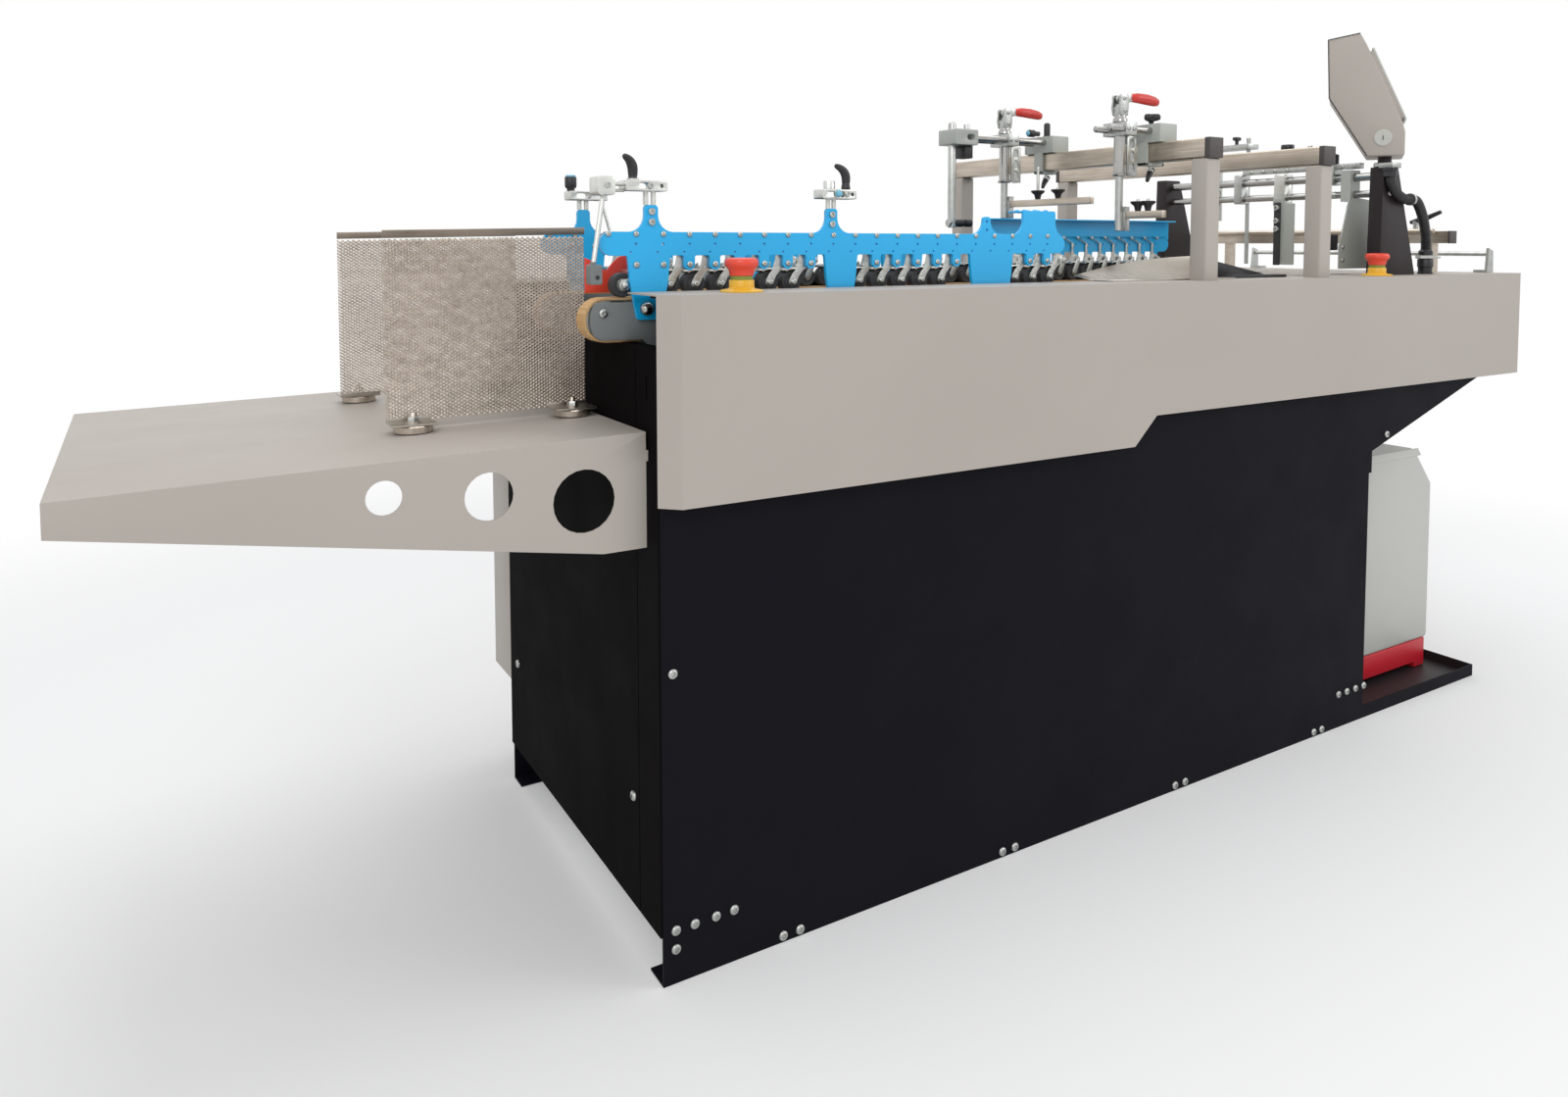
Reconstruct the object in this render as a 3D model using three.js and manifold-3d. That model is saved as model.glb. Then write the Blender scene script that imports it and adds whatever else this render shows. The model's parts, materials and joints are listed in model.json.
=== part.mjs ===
// A floor-standing folder gluer: flat carton blanks enter at the right (+X), ploughs and toggle-held bars fold
// them while two belts carry them along, and the finished cartons leave on the tray at the left.
// Millimetres, +Z up. While it is modelled, X is 0 at the left end panel, Y is 0 at the front side plate's outer
// face and Z is 0 on the floor. The finished group is moved so that its origin is the bottom centre of its box.
import * as THREE from "three";
import { mergeVertices } from "three/addons/utils/BufferGeometryUtils.js";
import Module from "manifold-3d";

const wasm = await Module();
wasm.setup();

// Driving dimensions of the whole machine
const workHeight = 900;
const bodyWidth = 661;
const bodyLength = 1545;
const baseReach = 420;
const wingInset = 14;
const coverReach = 113;
const baseLength = bodyLength + baseReach;
const wingLength = baseLength - wingInset;
const coverLength = wingLength + coverReach;
const trayReach = 637;
const frontCarrierFaceY = 100;
const rearCarrierFaceY = 351;
const beltLength = 1310;

// Sheet gauges, running clearance and cutter overrun
const frameSheet = 3;
const coverSheet = 2;
const fit = 0.3;
const overrun = 1;
const weld = 1;

// Round pieces: how many sides each size of circle gets
const bigSides = 24;
const midSides = 16;
const smallSides = 10;
const wheelSides = 12;

const half = (value) => value / 2;

// Finishes
function finish(color, roughness, metalness) {
  return () => new THREE.MeshStandardMaterial({ color, roughness, metalness });
}
const blackPaint = finish(0x1b1b22, 0.55, 0.1);
const greyPaint = finish(0xb4ada6, 0.5, 0.1);
const bluePaint = finish(0x2f9fdc, 0.4, 0.1);
const carrierPaint = finish(0x6e7273, 0.5, 0.3);
const stainless = finish(0xb5b0a8, 0.3, 0.9);
const aluminium = finish(0xc8c9c4, 0.35, 0.9);
const zincSteel = finish(0xbfc3c6, 0.35, 0.9);
const blackPlastic = finish(0x202022, 0.5, 0);
const redPlastic = finish(0xd8382e, 0.45, 0);
const beltFabric = finish(0xcda878, 0.8, 0);
const tyreRubber = finish(0x26272a, 0.8, 0);
const pumpPaint = finish(0xb9b9b3, 0.5, 0.1);
const pumpRed = finish(0xc01828, 0.45, 0.1);
const conduitPlastic = finish(0x1c1c1f, 0.6, 0);

// Solids: every helper gives a manifold solid, so pieces join and cut freely
function solidOf(geometry) {
  const bare = geometry.clone();
  bare.deleteAttribute("normal");
  bare.deleteAttribute("uv");
  const merged = mergeVertices(bare, 1e-4);
  const mesh = new wasm.Mesh({
    numProp: 3,
    vertProperties: new Float32Array(merged.attributes.position.array),
    triVerts: new Uint32Array(merged.index.array),
  });
  return new wasm.Manifold(mesh);
}

function geometryOf(solid) {
  const { vertProperties, triVerts } = solid.getMesh();
  const geometry = new THREE.BufferGeometry();
  geometry.setAttribute("position", new THREE.BufferAttribute(vertProperties, 3));
  geometry.setIndex(new THREE.BufferAttribute(triVerts, 1));
  return geometry;
}

const join = (first, ...others) => others.reduce((sum, solid) => sum.add(solid), first);
const cut = (first, ...tools) => tools.reduce((rest, tool) => rest.subtract(tool), first);

function block(x0, x1, y0, y1, z0, z1) {
  const geometry = new THREE.BoxGeometry(x1 - x0, y1 - y0, z1 - z0);
  geometry.translate(half(x0 + x1), half(y0 + y1), half(z0 + z1));
  return solidOf(geometry);
}

// A flat outline of [a, b] points, or a THREE.Shape, pulled out along the third axis
function outline(points) {
  return points.isShape ? points : new THREE.Shape(points.map(([a, b]) => new THREE.Vector2(a, b)));
}

function pulled(points, depth, arcSteps = 6) {
  return new THREE.ExtrudeGeometry(outline(points), { depth, bevelEnabled: false, curveSegments: arcSteps });
}

// Points are (x, z) and the plate lies between y0 and y1
function plateXZ(points, y0, y1, arcSteps) {
  const geometry = pulled(points, y1 - y0, arcSteps);
  geometry.rotateX(half(Math.PI));
  geometry.translate(0, y1, 0);
  return solidOf(geometry);
}

// Points are (x, y) and the plate lies between z0 and z1
function plateXY(points, z0, z1, arcSteps) {
  const geometry = pulled(points, z1 - z0, arcSteps);
  geometry.translate(0, 0, z0);
  return solidOf(geometry);
}

// Points are (y, z) and the bar lies between x0 and x1
function barYZ(points, x0, x1, arcSteps) {
  const geometry = pulled(points, x1 - x0, arcSteps);
  const along = new THREE.Matrix4().makeBasis(
    new THREE.Vector3(0, 1, 0),
    new THREE.Vector3(0, 0, 1),
    new THREE.Vector3(1, 0, 0),
  );
  geometry.applyMatrix4(along);
  geometry.translate(x0, 0, 0);
  return solidOf(geometry);
}

function rodY(radius, x, z, y0, y1, sides = smallSides) {
  const geometry = new THREE.CylinderGeometry(radius, radius, y1 - y0, sides);
  geometry.translate(x, half(y0 + y1), z);
  return solidOf(geometry);
}

function rodZ(radius, x, y, z0, z1, sides = smallSides, topRadius = radius) {
  const geometry = new THREE.CylinderGeometry(topRadius, radius, z1 - z0, sides);
  geometry.rotateX(half(Math.PI));
  geometry.translate(x, y, half(z0 + z1));
  return solidOf(geometry);
}

function rodX(radius, y, z, x0, x1, sides = smallSides) {
  const geometry = new THREE.CylinderGeometry(radius, radius, x1 - x0, sides);
  geometry.rotateZ(half(Math.PI));
  geometry.translate(half(x0 + x1), y, z);
  return solidOf(geometry);
}

// A round bar from one point to another
function strut(radius, from, to, sides = smallSides) {
  const start = new THREE.Vector3(...from);
  const end = new THREE.Vector3(...to);
  const way = end.clone().sub(start);
  const geometry = new THREE.CylinderGeometry(radius, radius, way.length(), sides);
  const turn = new THREE.Quaternion().setFromUnitVectors(new THREE.Vector3(0, 1, 0), way.clone().normalize());
  geometry.applyQuaternion(turn);
  geometry.translate(...start.add(end).divideScalar(2).toArray());
  return solidOf(geometry);
}

// The same piece on the other side of the plane where y is half of ySum
const mirrored = (solid, ySum) => solid.mirror([0, 1, 0]).translate([0, ySum, 0]);

// An outline's arc as points, from one angle to another
function arcPoints(x, z, radius, fromDegrees, toDegrees, steps) {
  return Array.from({ length: steps + 1 }, (_, i) => {
    const angle = THREE.MathUtils.degToRad(fromDegrees + ((toDegrees - fromDegrees) * i) / steps);
    return [x + radius * Math.cos(angle), z + radius * Math.sin(angle)];
  });
}

const machine = new THREE.Group();

function place(name, solid, material) {
  const mesh = new THREE.Mesh(geometryOf(solid), material());
  mesh.name = name;
  machine.add(mesh);
  return mesh;
}

// Side plates: one flat sheet each, with an inward foot below, an inward flange above and a wing under the feeder
const plateTop = workHeight - coverSheet - fit;
const footWidth = 42;
const topFlangeWidth = 25;
const trayLip = 25;
const wingNotchZ = 504;
const wingNotchDepth = 9;
const wingFootZ = 548;
const wingTipZ = 675;
const driveShaftRadius = 10;
const shaftHoleClear = 3;
const beltTopZ = workHeight - 8;
const beltThick = 3;
const rollerRadius = 26;
const beltSlack = 0.8;
const beltInnerRadius = rollerRadius + beltSlack;
const rollerZ = beltTopZ - beltThick - beltInnerRadius;
const noseX = -23;
const driveX = noseX + beltLength;
const frontCoverDeepZ = 630;
const plateLeftX = frameSheet + fit;

function sidePlate() {
  const sheet = plateXZ(
    [
      [plateLeftX, 0],
      [baseLength, 0],
      [baseLength, trayLip],
      [bodyLength, trayLip],
      [bodyLength, wingNotchZ],
      [bodyLength + wingNotchDepth, wingNotchZ],
      [bodyLength + wingNotchDepth, wingFootZ],
      [wingLength, wingTipZ],
      [wingLength, plateTop],
      [plateLeftX, plateTop],
    ],
    0,
    frameSheet,
  );
  const foot = block(plateLeftX, baseLength, 0, footWidth, 0, frameSheet);
  const flange = block(plateLeftX, wingLength, 0, topFlangeWidth, plateTop - frameSheet, plateTop);
  return join(sheet, foot, flange);
}

const driveHole = rodY(driveShaftRadius + shaftHoleClear, driveX, rollerZ, -overrun, bodyWidth + overrun, midSides);
place("front_side_plate", cut(sidePlate(), driveHole), blackPaint);
place("rear_side_plate", cut(mirrored(sidePlate(), bodyWidth), driveHole), blackPaint);

// Left end panel: closes the end below the belts, with a seam beside the front leg and a spare hook slot
const endPanelBottomZ = 67;
const endPanelTopZ = 831;
const endPanelReturn = 24;
const seamY = 67;
const seamWidth = 2;
const hookSlotY = 31;
const hookSlotWidth = 4;
const hookSlotTopZ = 795;
const hookSlotHeight = 30;

function leftEndPanel() {
  const sheet = block(0, frameSheet, 0, bodyWidth, endPanelBottomZ, endPanelTopZ);
  const inside = frameSheet + fit;
  const top = block(0, endPanelReturn, inside, bodyWidth - inside, endPanelTopZ - frameSheet, endPanelTopZ);
  const seam = block(-overrun, weld, seamY, seamY + seamWidth, endPanelBottomZ - overrun, endPanelTopZ + overrun);
  const slots = [hookSlotY, bodyWidth - hookSlotY - hookSlotWidth].map((y) =>
    block(-overrun, frameSheet + overrun, y, y + hookSlotWidth, hookSlotTopZ - hookSlotHeight, hookSlotTopZ),
  );
  return cut(join(sheet, top), seam, ...slots);
}
place("left_end_panel", leftEndPanel(), blackPaint);

// Base tray: rests on the feet, holds the frame square with four cross channels and carries the pump outside
const trayFloorZ = frameSheet + fit;
const channelWidth = 46;
const channelHeight = 16;
const trayInset = 45;
const firstChannelX = 195;
const channelPitch = 400;
const channelCount = 4;

function baseTray() {
  const y0 = frameSheet + fit;
  const y1 = bodyWidth - y0;
  const floor = block(trayInset, baseLength, y0, y1, trayFloorZ, trayFloorZ + frameSheet);
  const endLip = block(baseLength - frameSheet, baseLength, y0, y1, trayFloorZ, trayLip);
  const channels = Array.from({ length: channelCount }, (_, i) => {
    const x = firstChannelX + i * channelPitch;
    const solid = block(x, x + channelWidth, y0, y1, trayFloorZ, trayFloorZ + frameSheet + channelHeight);
    const z1 = trayFloorZ + channelHeight;
    const hollow = block(x + frameSheet, x + channelWidth - frameSheet, -overrun, bodyWidth, trayFloorZ + frameSheet, z1);
    return cut(solid, hollow);
  });
  return join(floor, endLip, ...channels);
}
place("base_tray", baseTray(), blackPaint);

// Right end panel: closes the body between the plates, behind the pump
const rightPanelTopZ = 560;
const rightPanelFlange = 20;

function rightEndPanel() {
  const y0 = frameSheet + fit;
  const y1 = bodyWidth - y0;
  const z0 = trayFloorZ + frameSheet + fit;
  const x1 = bodyLength - frameSheet;
  const sheet = block(x1 - frameSheet, x1, y0, y1, z0, rightPanelTopZ);
  const foot = block(x1 - rightPanelFlange, x1, y0, y1, z0, z0 + frameSheet);
  return join(sheet, foot);
}
place("right_end_panel", rightEndPanel(), blackPaint);

// Top covers: folded sheet with a shallower right part, a bevelled left corner and a bottom return to the plate
const frontCoverOut = 24;
const rearCoverOut = 124;
const coverInner = 92;
const coverShallowZ = 678;
const coverDeepEndX = 840;
const coverStepX = 891;

function topCover(out) {
  const face = plateXZ(
    [
      [frontCoverOut, frontCoverDeepZ],
      [coverDeepEndX, frontCoverDeepZ],
      [coverStepX, coverShallowZ],
      [coverLength, coverShallowZ],
      [coverLength, workHeight],
      [frontCoverOut, workHeight],
    ],
    -out,
    coverSheet - out,
  );
  const top = plateXY(
    [
      [frontCoverOut, -out],
      [coverLength, -out],
      [coverLength, coverInner],
      [0, coverInner],
      [0, frontCoverOut - out],
    ],
    workHeight - coverSheet,
    workHeight,
  );
  const bevel = plateXY(
    [
      [frontCoverOut, -out],
      [frontCoverOut + coverSheet, coverSheet - out],
      [coverSheet, frontCoverOut - out + coverSheet],
      [0, frontCoverOut - out],
    ],
    frontCoverDeepZ,
    workHeight,
  );
  const leftWall = block(0, coverSheet, frontCoverOut - out - weld, -fit, frontCoverDeepZ, workHeight);
  const behind = block(-overrun, frontCoverOut, -fit, coverInner, 0, workHeight - coverSheet);
  const endWall = block(coverLength - coverSheet, coverLength, -out, coverInner, coverShallowZ, workHeight);
  const deepHem = block(frontCoverOut, coverDeepEndX, -out, -fit, frontCoverDeepZ, frontCoverDeepZ + coverSheet);
  const shallowHem = block(coverStepX, coverLength, -out, -fit, coverShallowZ, coverShallowZ + coverSheet);
  const shell = join(face, top, cut(bevel, behind), endWall, deepHem, shallowHem);
  return out > frontCoverOut + fit ? join(shell, leftWall) : shell;
}
const leftEstopX = 134;
const rightEstopX = bodyLength + 47;
const estopXs = [leftEstopX, rightEstopX];
const estopY = 24;
const estopFlangeRadius = 28;
const estopFlangeThick = 2.5;
const estopBodyRadius = 16;
const estopBodyHeight = 15;
const estopStemRadius = 9;
const estopStemHoleClear = 0.8;
const estopHeadRadius = 22;
const estopHeadHeight = 25;
const estopHeadLipHeight = 8;
const estopTravel = 5;
const estopStemDepth = 10;

function estopBase(x) {
  const top = workHeight + estopBodyHeight;
  const flange = rodZ(estopFlangeRadius, x, estopY, workHeight - weld, workHeight + estopFlangeThick, midSides);
  return join(flange, rodZ(estopBodyRadius, x, estopY, workHeight - weld, top, midSides));
}

function estopStemHole(x) {
  const z0 = workHeight - coverSheet - overrun;
  const z1 = workHeight + estopBodyHeight + overrun;
  return rodZ(estopStemRadius + estopStemHoleClear, x, estopY, z0, z1, smallSides);
}

function estopHead(x) {
  const z0 = workHeight + estopBodyHeight + estopTravel + fit;
  const z1 = z0 + estopHeadHeight;
  const profile = [
    [0, z0],
    [estopBodyRadius, z0],
    [estopHeadRadius, z1 - estopHeadLipHeight],
    [estopHeadRadius, z1 - half(estopHeadLipHeight)],
    [estopHeadRadius - half(half(estopHeadLipHeight)), z1],
    [0, z1],
  ].map(([r, z]) => new THREE.Vector2(r, z));
  const head = new THREE.LatheGeometry(profile, bigSides);
  head.rotateX(half(Math.PI));
  head.translate(x, estopY, 0);
  const stem = rodZ(estopStemRadius, x, estopY, z0 - estopStemDepth, z0 + weld, smallSides);
  return join(solidOf(head), stem);
}

const frontCover = cut(join(topCover(frontCoverOut), ...estopXs.map(estopBase)), ...estopXs.map(estopStemHole));
place("front_top_cover", frontCover, greyPaint);
place("rear_top_cover", mirrored(topCover(rearCoverOut), bodyWidth), greyPaint);
["left_estop_head", "right_estop_head"].forEach((name, i) => place(name, estopHead(estopXs[i]), redPlastic));

// Rear drive cover: a shallow cabinet on the rear plate below the rear cover, open towards the plate
const driveCoverLeftX = 6;
const driveCoverRightX = 1180;
const driveCoverBottomZ = 173;

function rearDriveCover() {
  const y0 = bodyWidth + fit;
  const y1 = bodyWidth + rearCoverOut;
  const z1 = frontCoverDeepZ - fit;
  const shell = block(driveCoverLeftX, coverDeepEndX - fit, y0, y1, driveCoverBottomZ, z1);
  const hollowX1 = coverDeepEndX - fit - coverSheet;
  const hollowX0 = driveCoverLeftX + coverSheet;
  const hollow = block(hollowX0, hollowX1, -overrun, y1 - coverSheet, driveCoverBottomZ + coverSheet, z1 - coverSheet);
  return cut(shell, hollow);
}
place("rear_drive_cover", rearDriveCover(), greyPaint);

// Feed table: a folded sheet, level with the covers on both sides of it, under the stack of blanks
const tableGap = 14;
const tableSkirt = 24;
const tableX0 = driveX + beltInnerRadius + beltThick + tableGap;
const tableX1 = coverLength - tableGap;
const tableTopZ = workHeight;
const tableSlotWidth = 40;
const tableSlotShares = [0.16, 0.46];

function feedTable() {
  const y0 = coverInner + fit;
  const y1 = bodyWidth - y0;
  const top = block(tableX0, tableX1, y0, y1, tableTopZ - coverSheet, tableTopZ);
  const skirts = [tableX0, tableX1 - coverSheet].map((x) =>
    block(x, x + coverSheet, y0, y1, tableTopZ - tableSkirt, tableTopZ - half(coverSheet)),
  );
  const slots = [frontCarrierFaceY, rearCarrierFaceY - tableSlotWidth].map((y) => {
    const x0 = tableX0 + tableSlotShares[0] * (tableX1 - tableX0);
    const x1 = tableX0 + tableSlotShares[1] * (tableX1 - tableX0);
    return block(x0, x1, y, y + tableSlotWidth, tableTopZ - coverSheet - overrun, tableTopZ + overrun);
  });
  return cut(join(top, ...skirts), ...slots);
}
place("feed_table", feedTable(), greyPaint);

// Vacuum pump: a painted casing with a cut top corner over a red base on feet
const pumpGap = 17;
const pumpLength = 362;
const pumpX0 = bodyLength + pumpGap;
const pumpX1 = pumpX0 + pumpLength;
const pumpY0 = 80;
const pumpDepth = 400;
const pumpFootHeight = 12;
const pumpBaseHeight = 52;
const pumpTopZ = 511;
const pumpBevelX = 70;
const pumpBevelZ = 84;
const pumpFootWidth = 40;
const pumpBaseZ = trayFloorZ + frameSheet + fit;
const pumpBaseInset = 4;

function pumpBase() {
  const z1 = pumpBaseZ + pumpFootHeight + pumpBaseHeight;
  const x0 = pumpX0 + pumpBaseInset;
  const x1 = pumpX1 - pumpBaseInset;
  const y1 = pumpY0 + pumpDepth;
  const body = block(x0, x1, pumpY0 + pumpBaseInset, y1, pumpBaseZ, z1);
  const underX = block(x0 + pumpFootWidth, x1 - pumpFootWidth, 0, bodyWidth, 0, pumpBaseZ + pumpFootHeight);
  const y0 = pumpY0 + pumpBaseInset + pumpFootWidth;
  const underY = block(0, baseLength, y0, y1 - pumpFootWidth, 0, pumpBaseZ + pumpFootHeight);
  return cut(body, underX, underY);
}

function pumpCasing() {
  const z0 = pumpBaseZ + pumpFootHeight + pumpBaseHeight + fit;
  const profile = [
    [pumpX0, z0],
    [pumpX1, z0],
    [pumpX1, pumpTopZ - pumpBevelZ],
    [pumpX1 - pumpBevelX, pumpTopZ],
    [pumpX0, pumpTopZ],
  ];
  return plateXZ(profile, pumpY0, pumpY0 + pumpDepth + pumpBaseInset);
}
place("pump_base", pumpBase(), pumpRed);
place("pump_casing", pumpCasing(), pumpPaint);

// Delivery tray: one folded sheet that hooks on the end panel and slopes down to its outer end
const trayY0 = 28;
const trayY1 = 690;
const trayEndZ = 711;
const trayInnerZ = 724;
const trayEndFlange = 37;
const trayDeepFlange = 150;
const trayDeepX = 62;
const trayHoleRows = [
  { reachShare: 0.503, dropShare: 0.27, radius: 20 },
  { reachShare: 0.318, dropShare: 0.37, radius: 29 },
  { reachShare: 0.134, dropShare: 0.52, radius: 40 },
];
const hookTabLength = 3;
const hookTabHeight = 14;
const hookTabDrop = 24;

const trayRun = trayReach - hookTabLength;
const trayTopAt = (x) => trayInnerZ + ((trayInnerZ - trayEndZ) * (x + hookTabLength)) / trayRun;

function deliveryTray() {
  const x1 = -hookTabLength;
  const sheet = plateXZ(
    [
      [-trayReach, trayEndZ - coverSheet],
      [x1, trayInnerZ - coverSheet],
      [x1, trayInnerZ],
      [-trayReach, trayEndZ],
    ],
    trayY0,
    trayY1,
  );
  const endFlange = block(-trayReach, coverSheet - trayReach, trayY0, trayY1, trayEndZ - trayEndFlange, trayEndZ);
  const side = [
    [-trayReach, trayEndZ - trayEndFlange],
    [-trayDeepX, trayInnerZ - trayDeepFlange],
    [x1, trayInnerZ - trayDeepFlange],
    [x1, trayInnerZ],
    [-trayReach, trayEndZ],
  ];
  const front = plateXZ(side, trayY0, trayY0 + coverSheet);
  const rear = plateXZ(side, trayY1 - coverSheet, trayY1);
  const holes = trayHoleRows.map(({ reachShare, dropShare, radius }) => {
    const x = -trayReach * reachShare;
    const z = trayTopAt(x) - trayDeepFlange * dropShare;
    return rodY(radius, x, z, trayY0 - overrun, trayY1 + overrun, bigSides);
  });
  const z1 = trayInnerZ - hookTabDrop;
  const tabYs = [trayY0, bodyWidth - trayY0 - hookSlotWidth];
  const frontTab = block(x1 - weld, -fit, tabYs[0], tabYs[0] + coverSheet, z1 - hookTabHeight, z1);
  const brace = block(x1 - coverSheet, x1, trayY0, trayY1, trayInnerZ - trayEndFlange, trayInnerZ - weld);
  return join(cut(join(sheet, endFlange, front, rear), ...holes), brace, frontTab);
}
place("delivery_tray", deliveryTray(), greyPaint);

// Guide plates: upright sheets whose bent tabs are held on the tray by pot magnets
const guideLength = 272;
const guideEndGap = 8;
const frontGuideY = 232;
const rearGuideY = 526;
const guidePlates = [
  { name: "front_guide_plate", y: frontGuideY, side: -1 },
  { name: "rear_guide_plate", y: rearGuideY, side: 1 },
];
const guideTopZ = 976;
const guideSheet = 2;
const magnetHeight = 11;
const magnetRadius = 24;
const tabLength = 44;
const tabWidth = 36;
const tabShares = [0.12, 0.87];
const studRadius = 4;
const studHeight = 14;
const nutRadius = 7;
const nutHeight = 6;

function guidePlate({ y, side }) {
  const x1 = -guideEndGap;
  const x = x1 - guideLength;
  const bottomAt = (px) => trayTopAt(px) + fit + magnetHeight;
  const sheet = plateXZ(
    [
      [x, bottomAt(x)],
      [x1, bottomAt(x1)],
      [x1, guideTopZ],
      [x, guideTopZ],
    ],
    y,
    y + guideSheet,
  );
  const feet = tabShares.map((share) => {
    const tx = x + share * guideLength;
    const z = bottomAt(tx);
    const yOut = side < 0 ? y - tabLength : y + guideSheet + tabLength;
    const yIn = side < 0 ? y + guideSheet : y;
    const ends = [Math.min(yOut, yIn), Math.max(yOut, yIn)];
    const tab = block(tx - half(tabWidth), tx + half(tabWidth), ...ends, z - half(guideSheet), z + guideSheet);
    const my = yOut - side * half(tabLength);
    const magnetZ0 = trayTopAt(tx + magnetRadius) + fit;
    const magnet = rodZ(magnetRadius, tx, my, magnetZ0, z, midSides);
    const stud = rodZ(studRadius, tx, my, z, z + studHeight, smallSides);
    const nut = rodZ(nutRadius, tx, my, z, z + guideSheet + nutHeight, 6);
    return join(tab, magnet, stud, nut);
  });
  return join(sheet, ...feet);
}
guidePlates.forEach((plan) => place(plan.name, guidePlate(plan), stainless));

// Lower carriers: a side plate with a rounded nose and a slider bed inside each belt, on one fixed guide shaft
const carrierPlate = 6;
const bluePlate = 6;
const lowerY0 = frontCarrierFaceY + bluePlate + fit;
const lowerY1 = lowerY0 + carrierPlate;
const beltWidth = 30;
const beltY0 = lowerY1 + 2;
const beltY1 = beltY0 + beltWidth;
const lowerNoseRadius = 24;
const lowerDropZ = 776;
const lowerDropX = 84;
const lowerClearZ = 835;
const lowerTail = 18;
const lowerRightX = driveX + lowerTail;
const guideShaftX = 300;
const guideShaftZ = 800;
const guideShaftRadius = 15;
const bedThick = 12;
const rollerInset = 1;
const nosePinRadius = 6;
const pinClear = 0.5;
const ySum = frontCarrierFaceY + rearCarrierFaceY;

function lowerCarrier() {
  const nose = arcPoints(noseX, rollerZ, lowerNoseRadius, 90, 215, 7);
  const plate = plateXZ(
    [
      ...nose,
      [noseX - half(lowerNoseRadius), lowerClearZ],
      [frameSheet + endPanelReturn, lowerClearZ],
      [lowerDropX, lowerDropZ],
      [lowerRightX, lowerDropZ],
      [lowerRightX, rollerZ + lowerNoseRadius],
    ],
    lowerY0,
    lowerY1,
  );
  const bedZ1 = beltTopZ - beltThick - fit;
  const bedX0 = noseX + rollerRadius + bedThick;
  const bedX1 = driveX - rollerRadius - bedThick;
  const bed = block(bedX0, bedX1, lowerY1 - weld, beltY1, bedZ1 - bedThick, bedZ1);
  const pin = rodY(nosePinRadius, noseX, rollerZ, lowerY1 - weld, beltY1, smallSides);
  const bore = rodY(guideShaftRadius + pinClear, guideShaftX, guideShaftZ, lowerY0 - overrun, beltY1, midSides);
  const bossRadius = guideShaftRadius + carrierPlate;
  const boss = rodY(bossRadius, guideShaftX, guideShaftZ, lowerY1 - weld, beltY1, midSides);
  const driveBore = rodY(driveShaftRadius + shaftHoleClear, driveX, rollerZ, 0, beltY1, midSides);
  return cut(join(plate, bed, pin, boss), bore, driveBore);
}
place("front_lower_carrier", lowerCarrier(), carrierPaint);
place("rear_lower_carrier", mirrored(lowerCarrier(), ySum), carrierPaint);

function belt() {
  const loop = (radius, steps) => [
    ...arcPoints(noseX, rollerZ, radius, 90, 270, steps),
    ...arcPoints(driveX, rollerZ, radius, -90, 90, steps),
  ];
  const steps = 10;
  const outer = plateXZ(loop(beltInnerRadius + beltThick, steps), beltY0, beltY1);
  return cut(outer, plateXZ(loop(beltInnerRadius, steps), beltY0 - overrun, beltY1 + overrun));
}
place("front_belt", belt(), beltFabric);
place("rear_belt", mirrored(belt(), ySum), beltFabric);

function roller(x, boreRadius) {
  const y0 = beltY0 + rollerInset;
  const y1 = beltY1 - rollerInset;
  const body = rodY(rollerRadius, x, rollerZ, y0, y1, bigSides);
  return cut(body, rodY(boreRadius, x, rollerZ, y0 - overrun, y1 + overrun, midSides));
}
const noseRoller = () => roller(noseX, nosePinRadius + pinClear);
const driveRoller = () => roller(driveX, driveShaftRadius + pinClear);
place("front_nose_roller", noseRoller(), aluminium);
place("rear_nose_roller", mirrored(noseRoller(), ySum), aluminium);
place("front_drive_roller", driveRoller(), aluminium);
place("rear_drive_roller", mirrored(driveRoller(), ySum), aluminium);

// Drive: a cross shaft through both side plates, turned by a geared motor under the rear cover
const motorLength = 100;
const motorRadius = 32;
const gearboxHalf = 36;
const gearboxDepth = 46;
const motorPlateGap = 0.3;

function driveShaft() {
  const y1 = bodyWidth + motorPlateGap + gearboxDepth;
  return rodY(driveShaftRadius, driveX, rollerZ, frameSheet + fit, y1 - fit, smallSides + 2);
}
place("drive_shaft", driveShaft(), zincSteel);

function driveMotor() {
  const y0 = bodyWidth + motorPlateGap;
  const y1 = y0 + gearboxDepth;
  const z0 = rollerZ - gearboxHalf - gearboxHalf;
  const top = rollerZ + half(gearboxHalf);
  const gearbox = block(driveX - gearboxHalf, driveX + gearboxHalf, y0, y1, z0, top);
  const bore = rodY(driveShaftRadius + pinClear, driveX, rollerZ, y0 - overrun, y1 + overrun, smallSides + 2);
  const x0 = driveX - gearboxHalf - motorLength;
  const motor = rodX(half(gearboxDepth) - weld, half(y0 + y1), z0 + motorRadius, x0, driveX, midSides);
  return join(cut(gearbox, bore), motor);
}
place("drive_motor", driveMotor(), blackPaint);

const shaftEnd = frameSheet + fit;
const guideShaftSolid = rodY(guideShaftRadius, guideShaftX, guideShaftZ, shaftEnd, bodyWidth - shaftEnd, midSides);
place("guide_shaft", guideShaftSolid, zincSteel);

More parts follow.
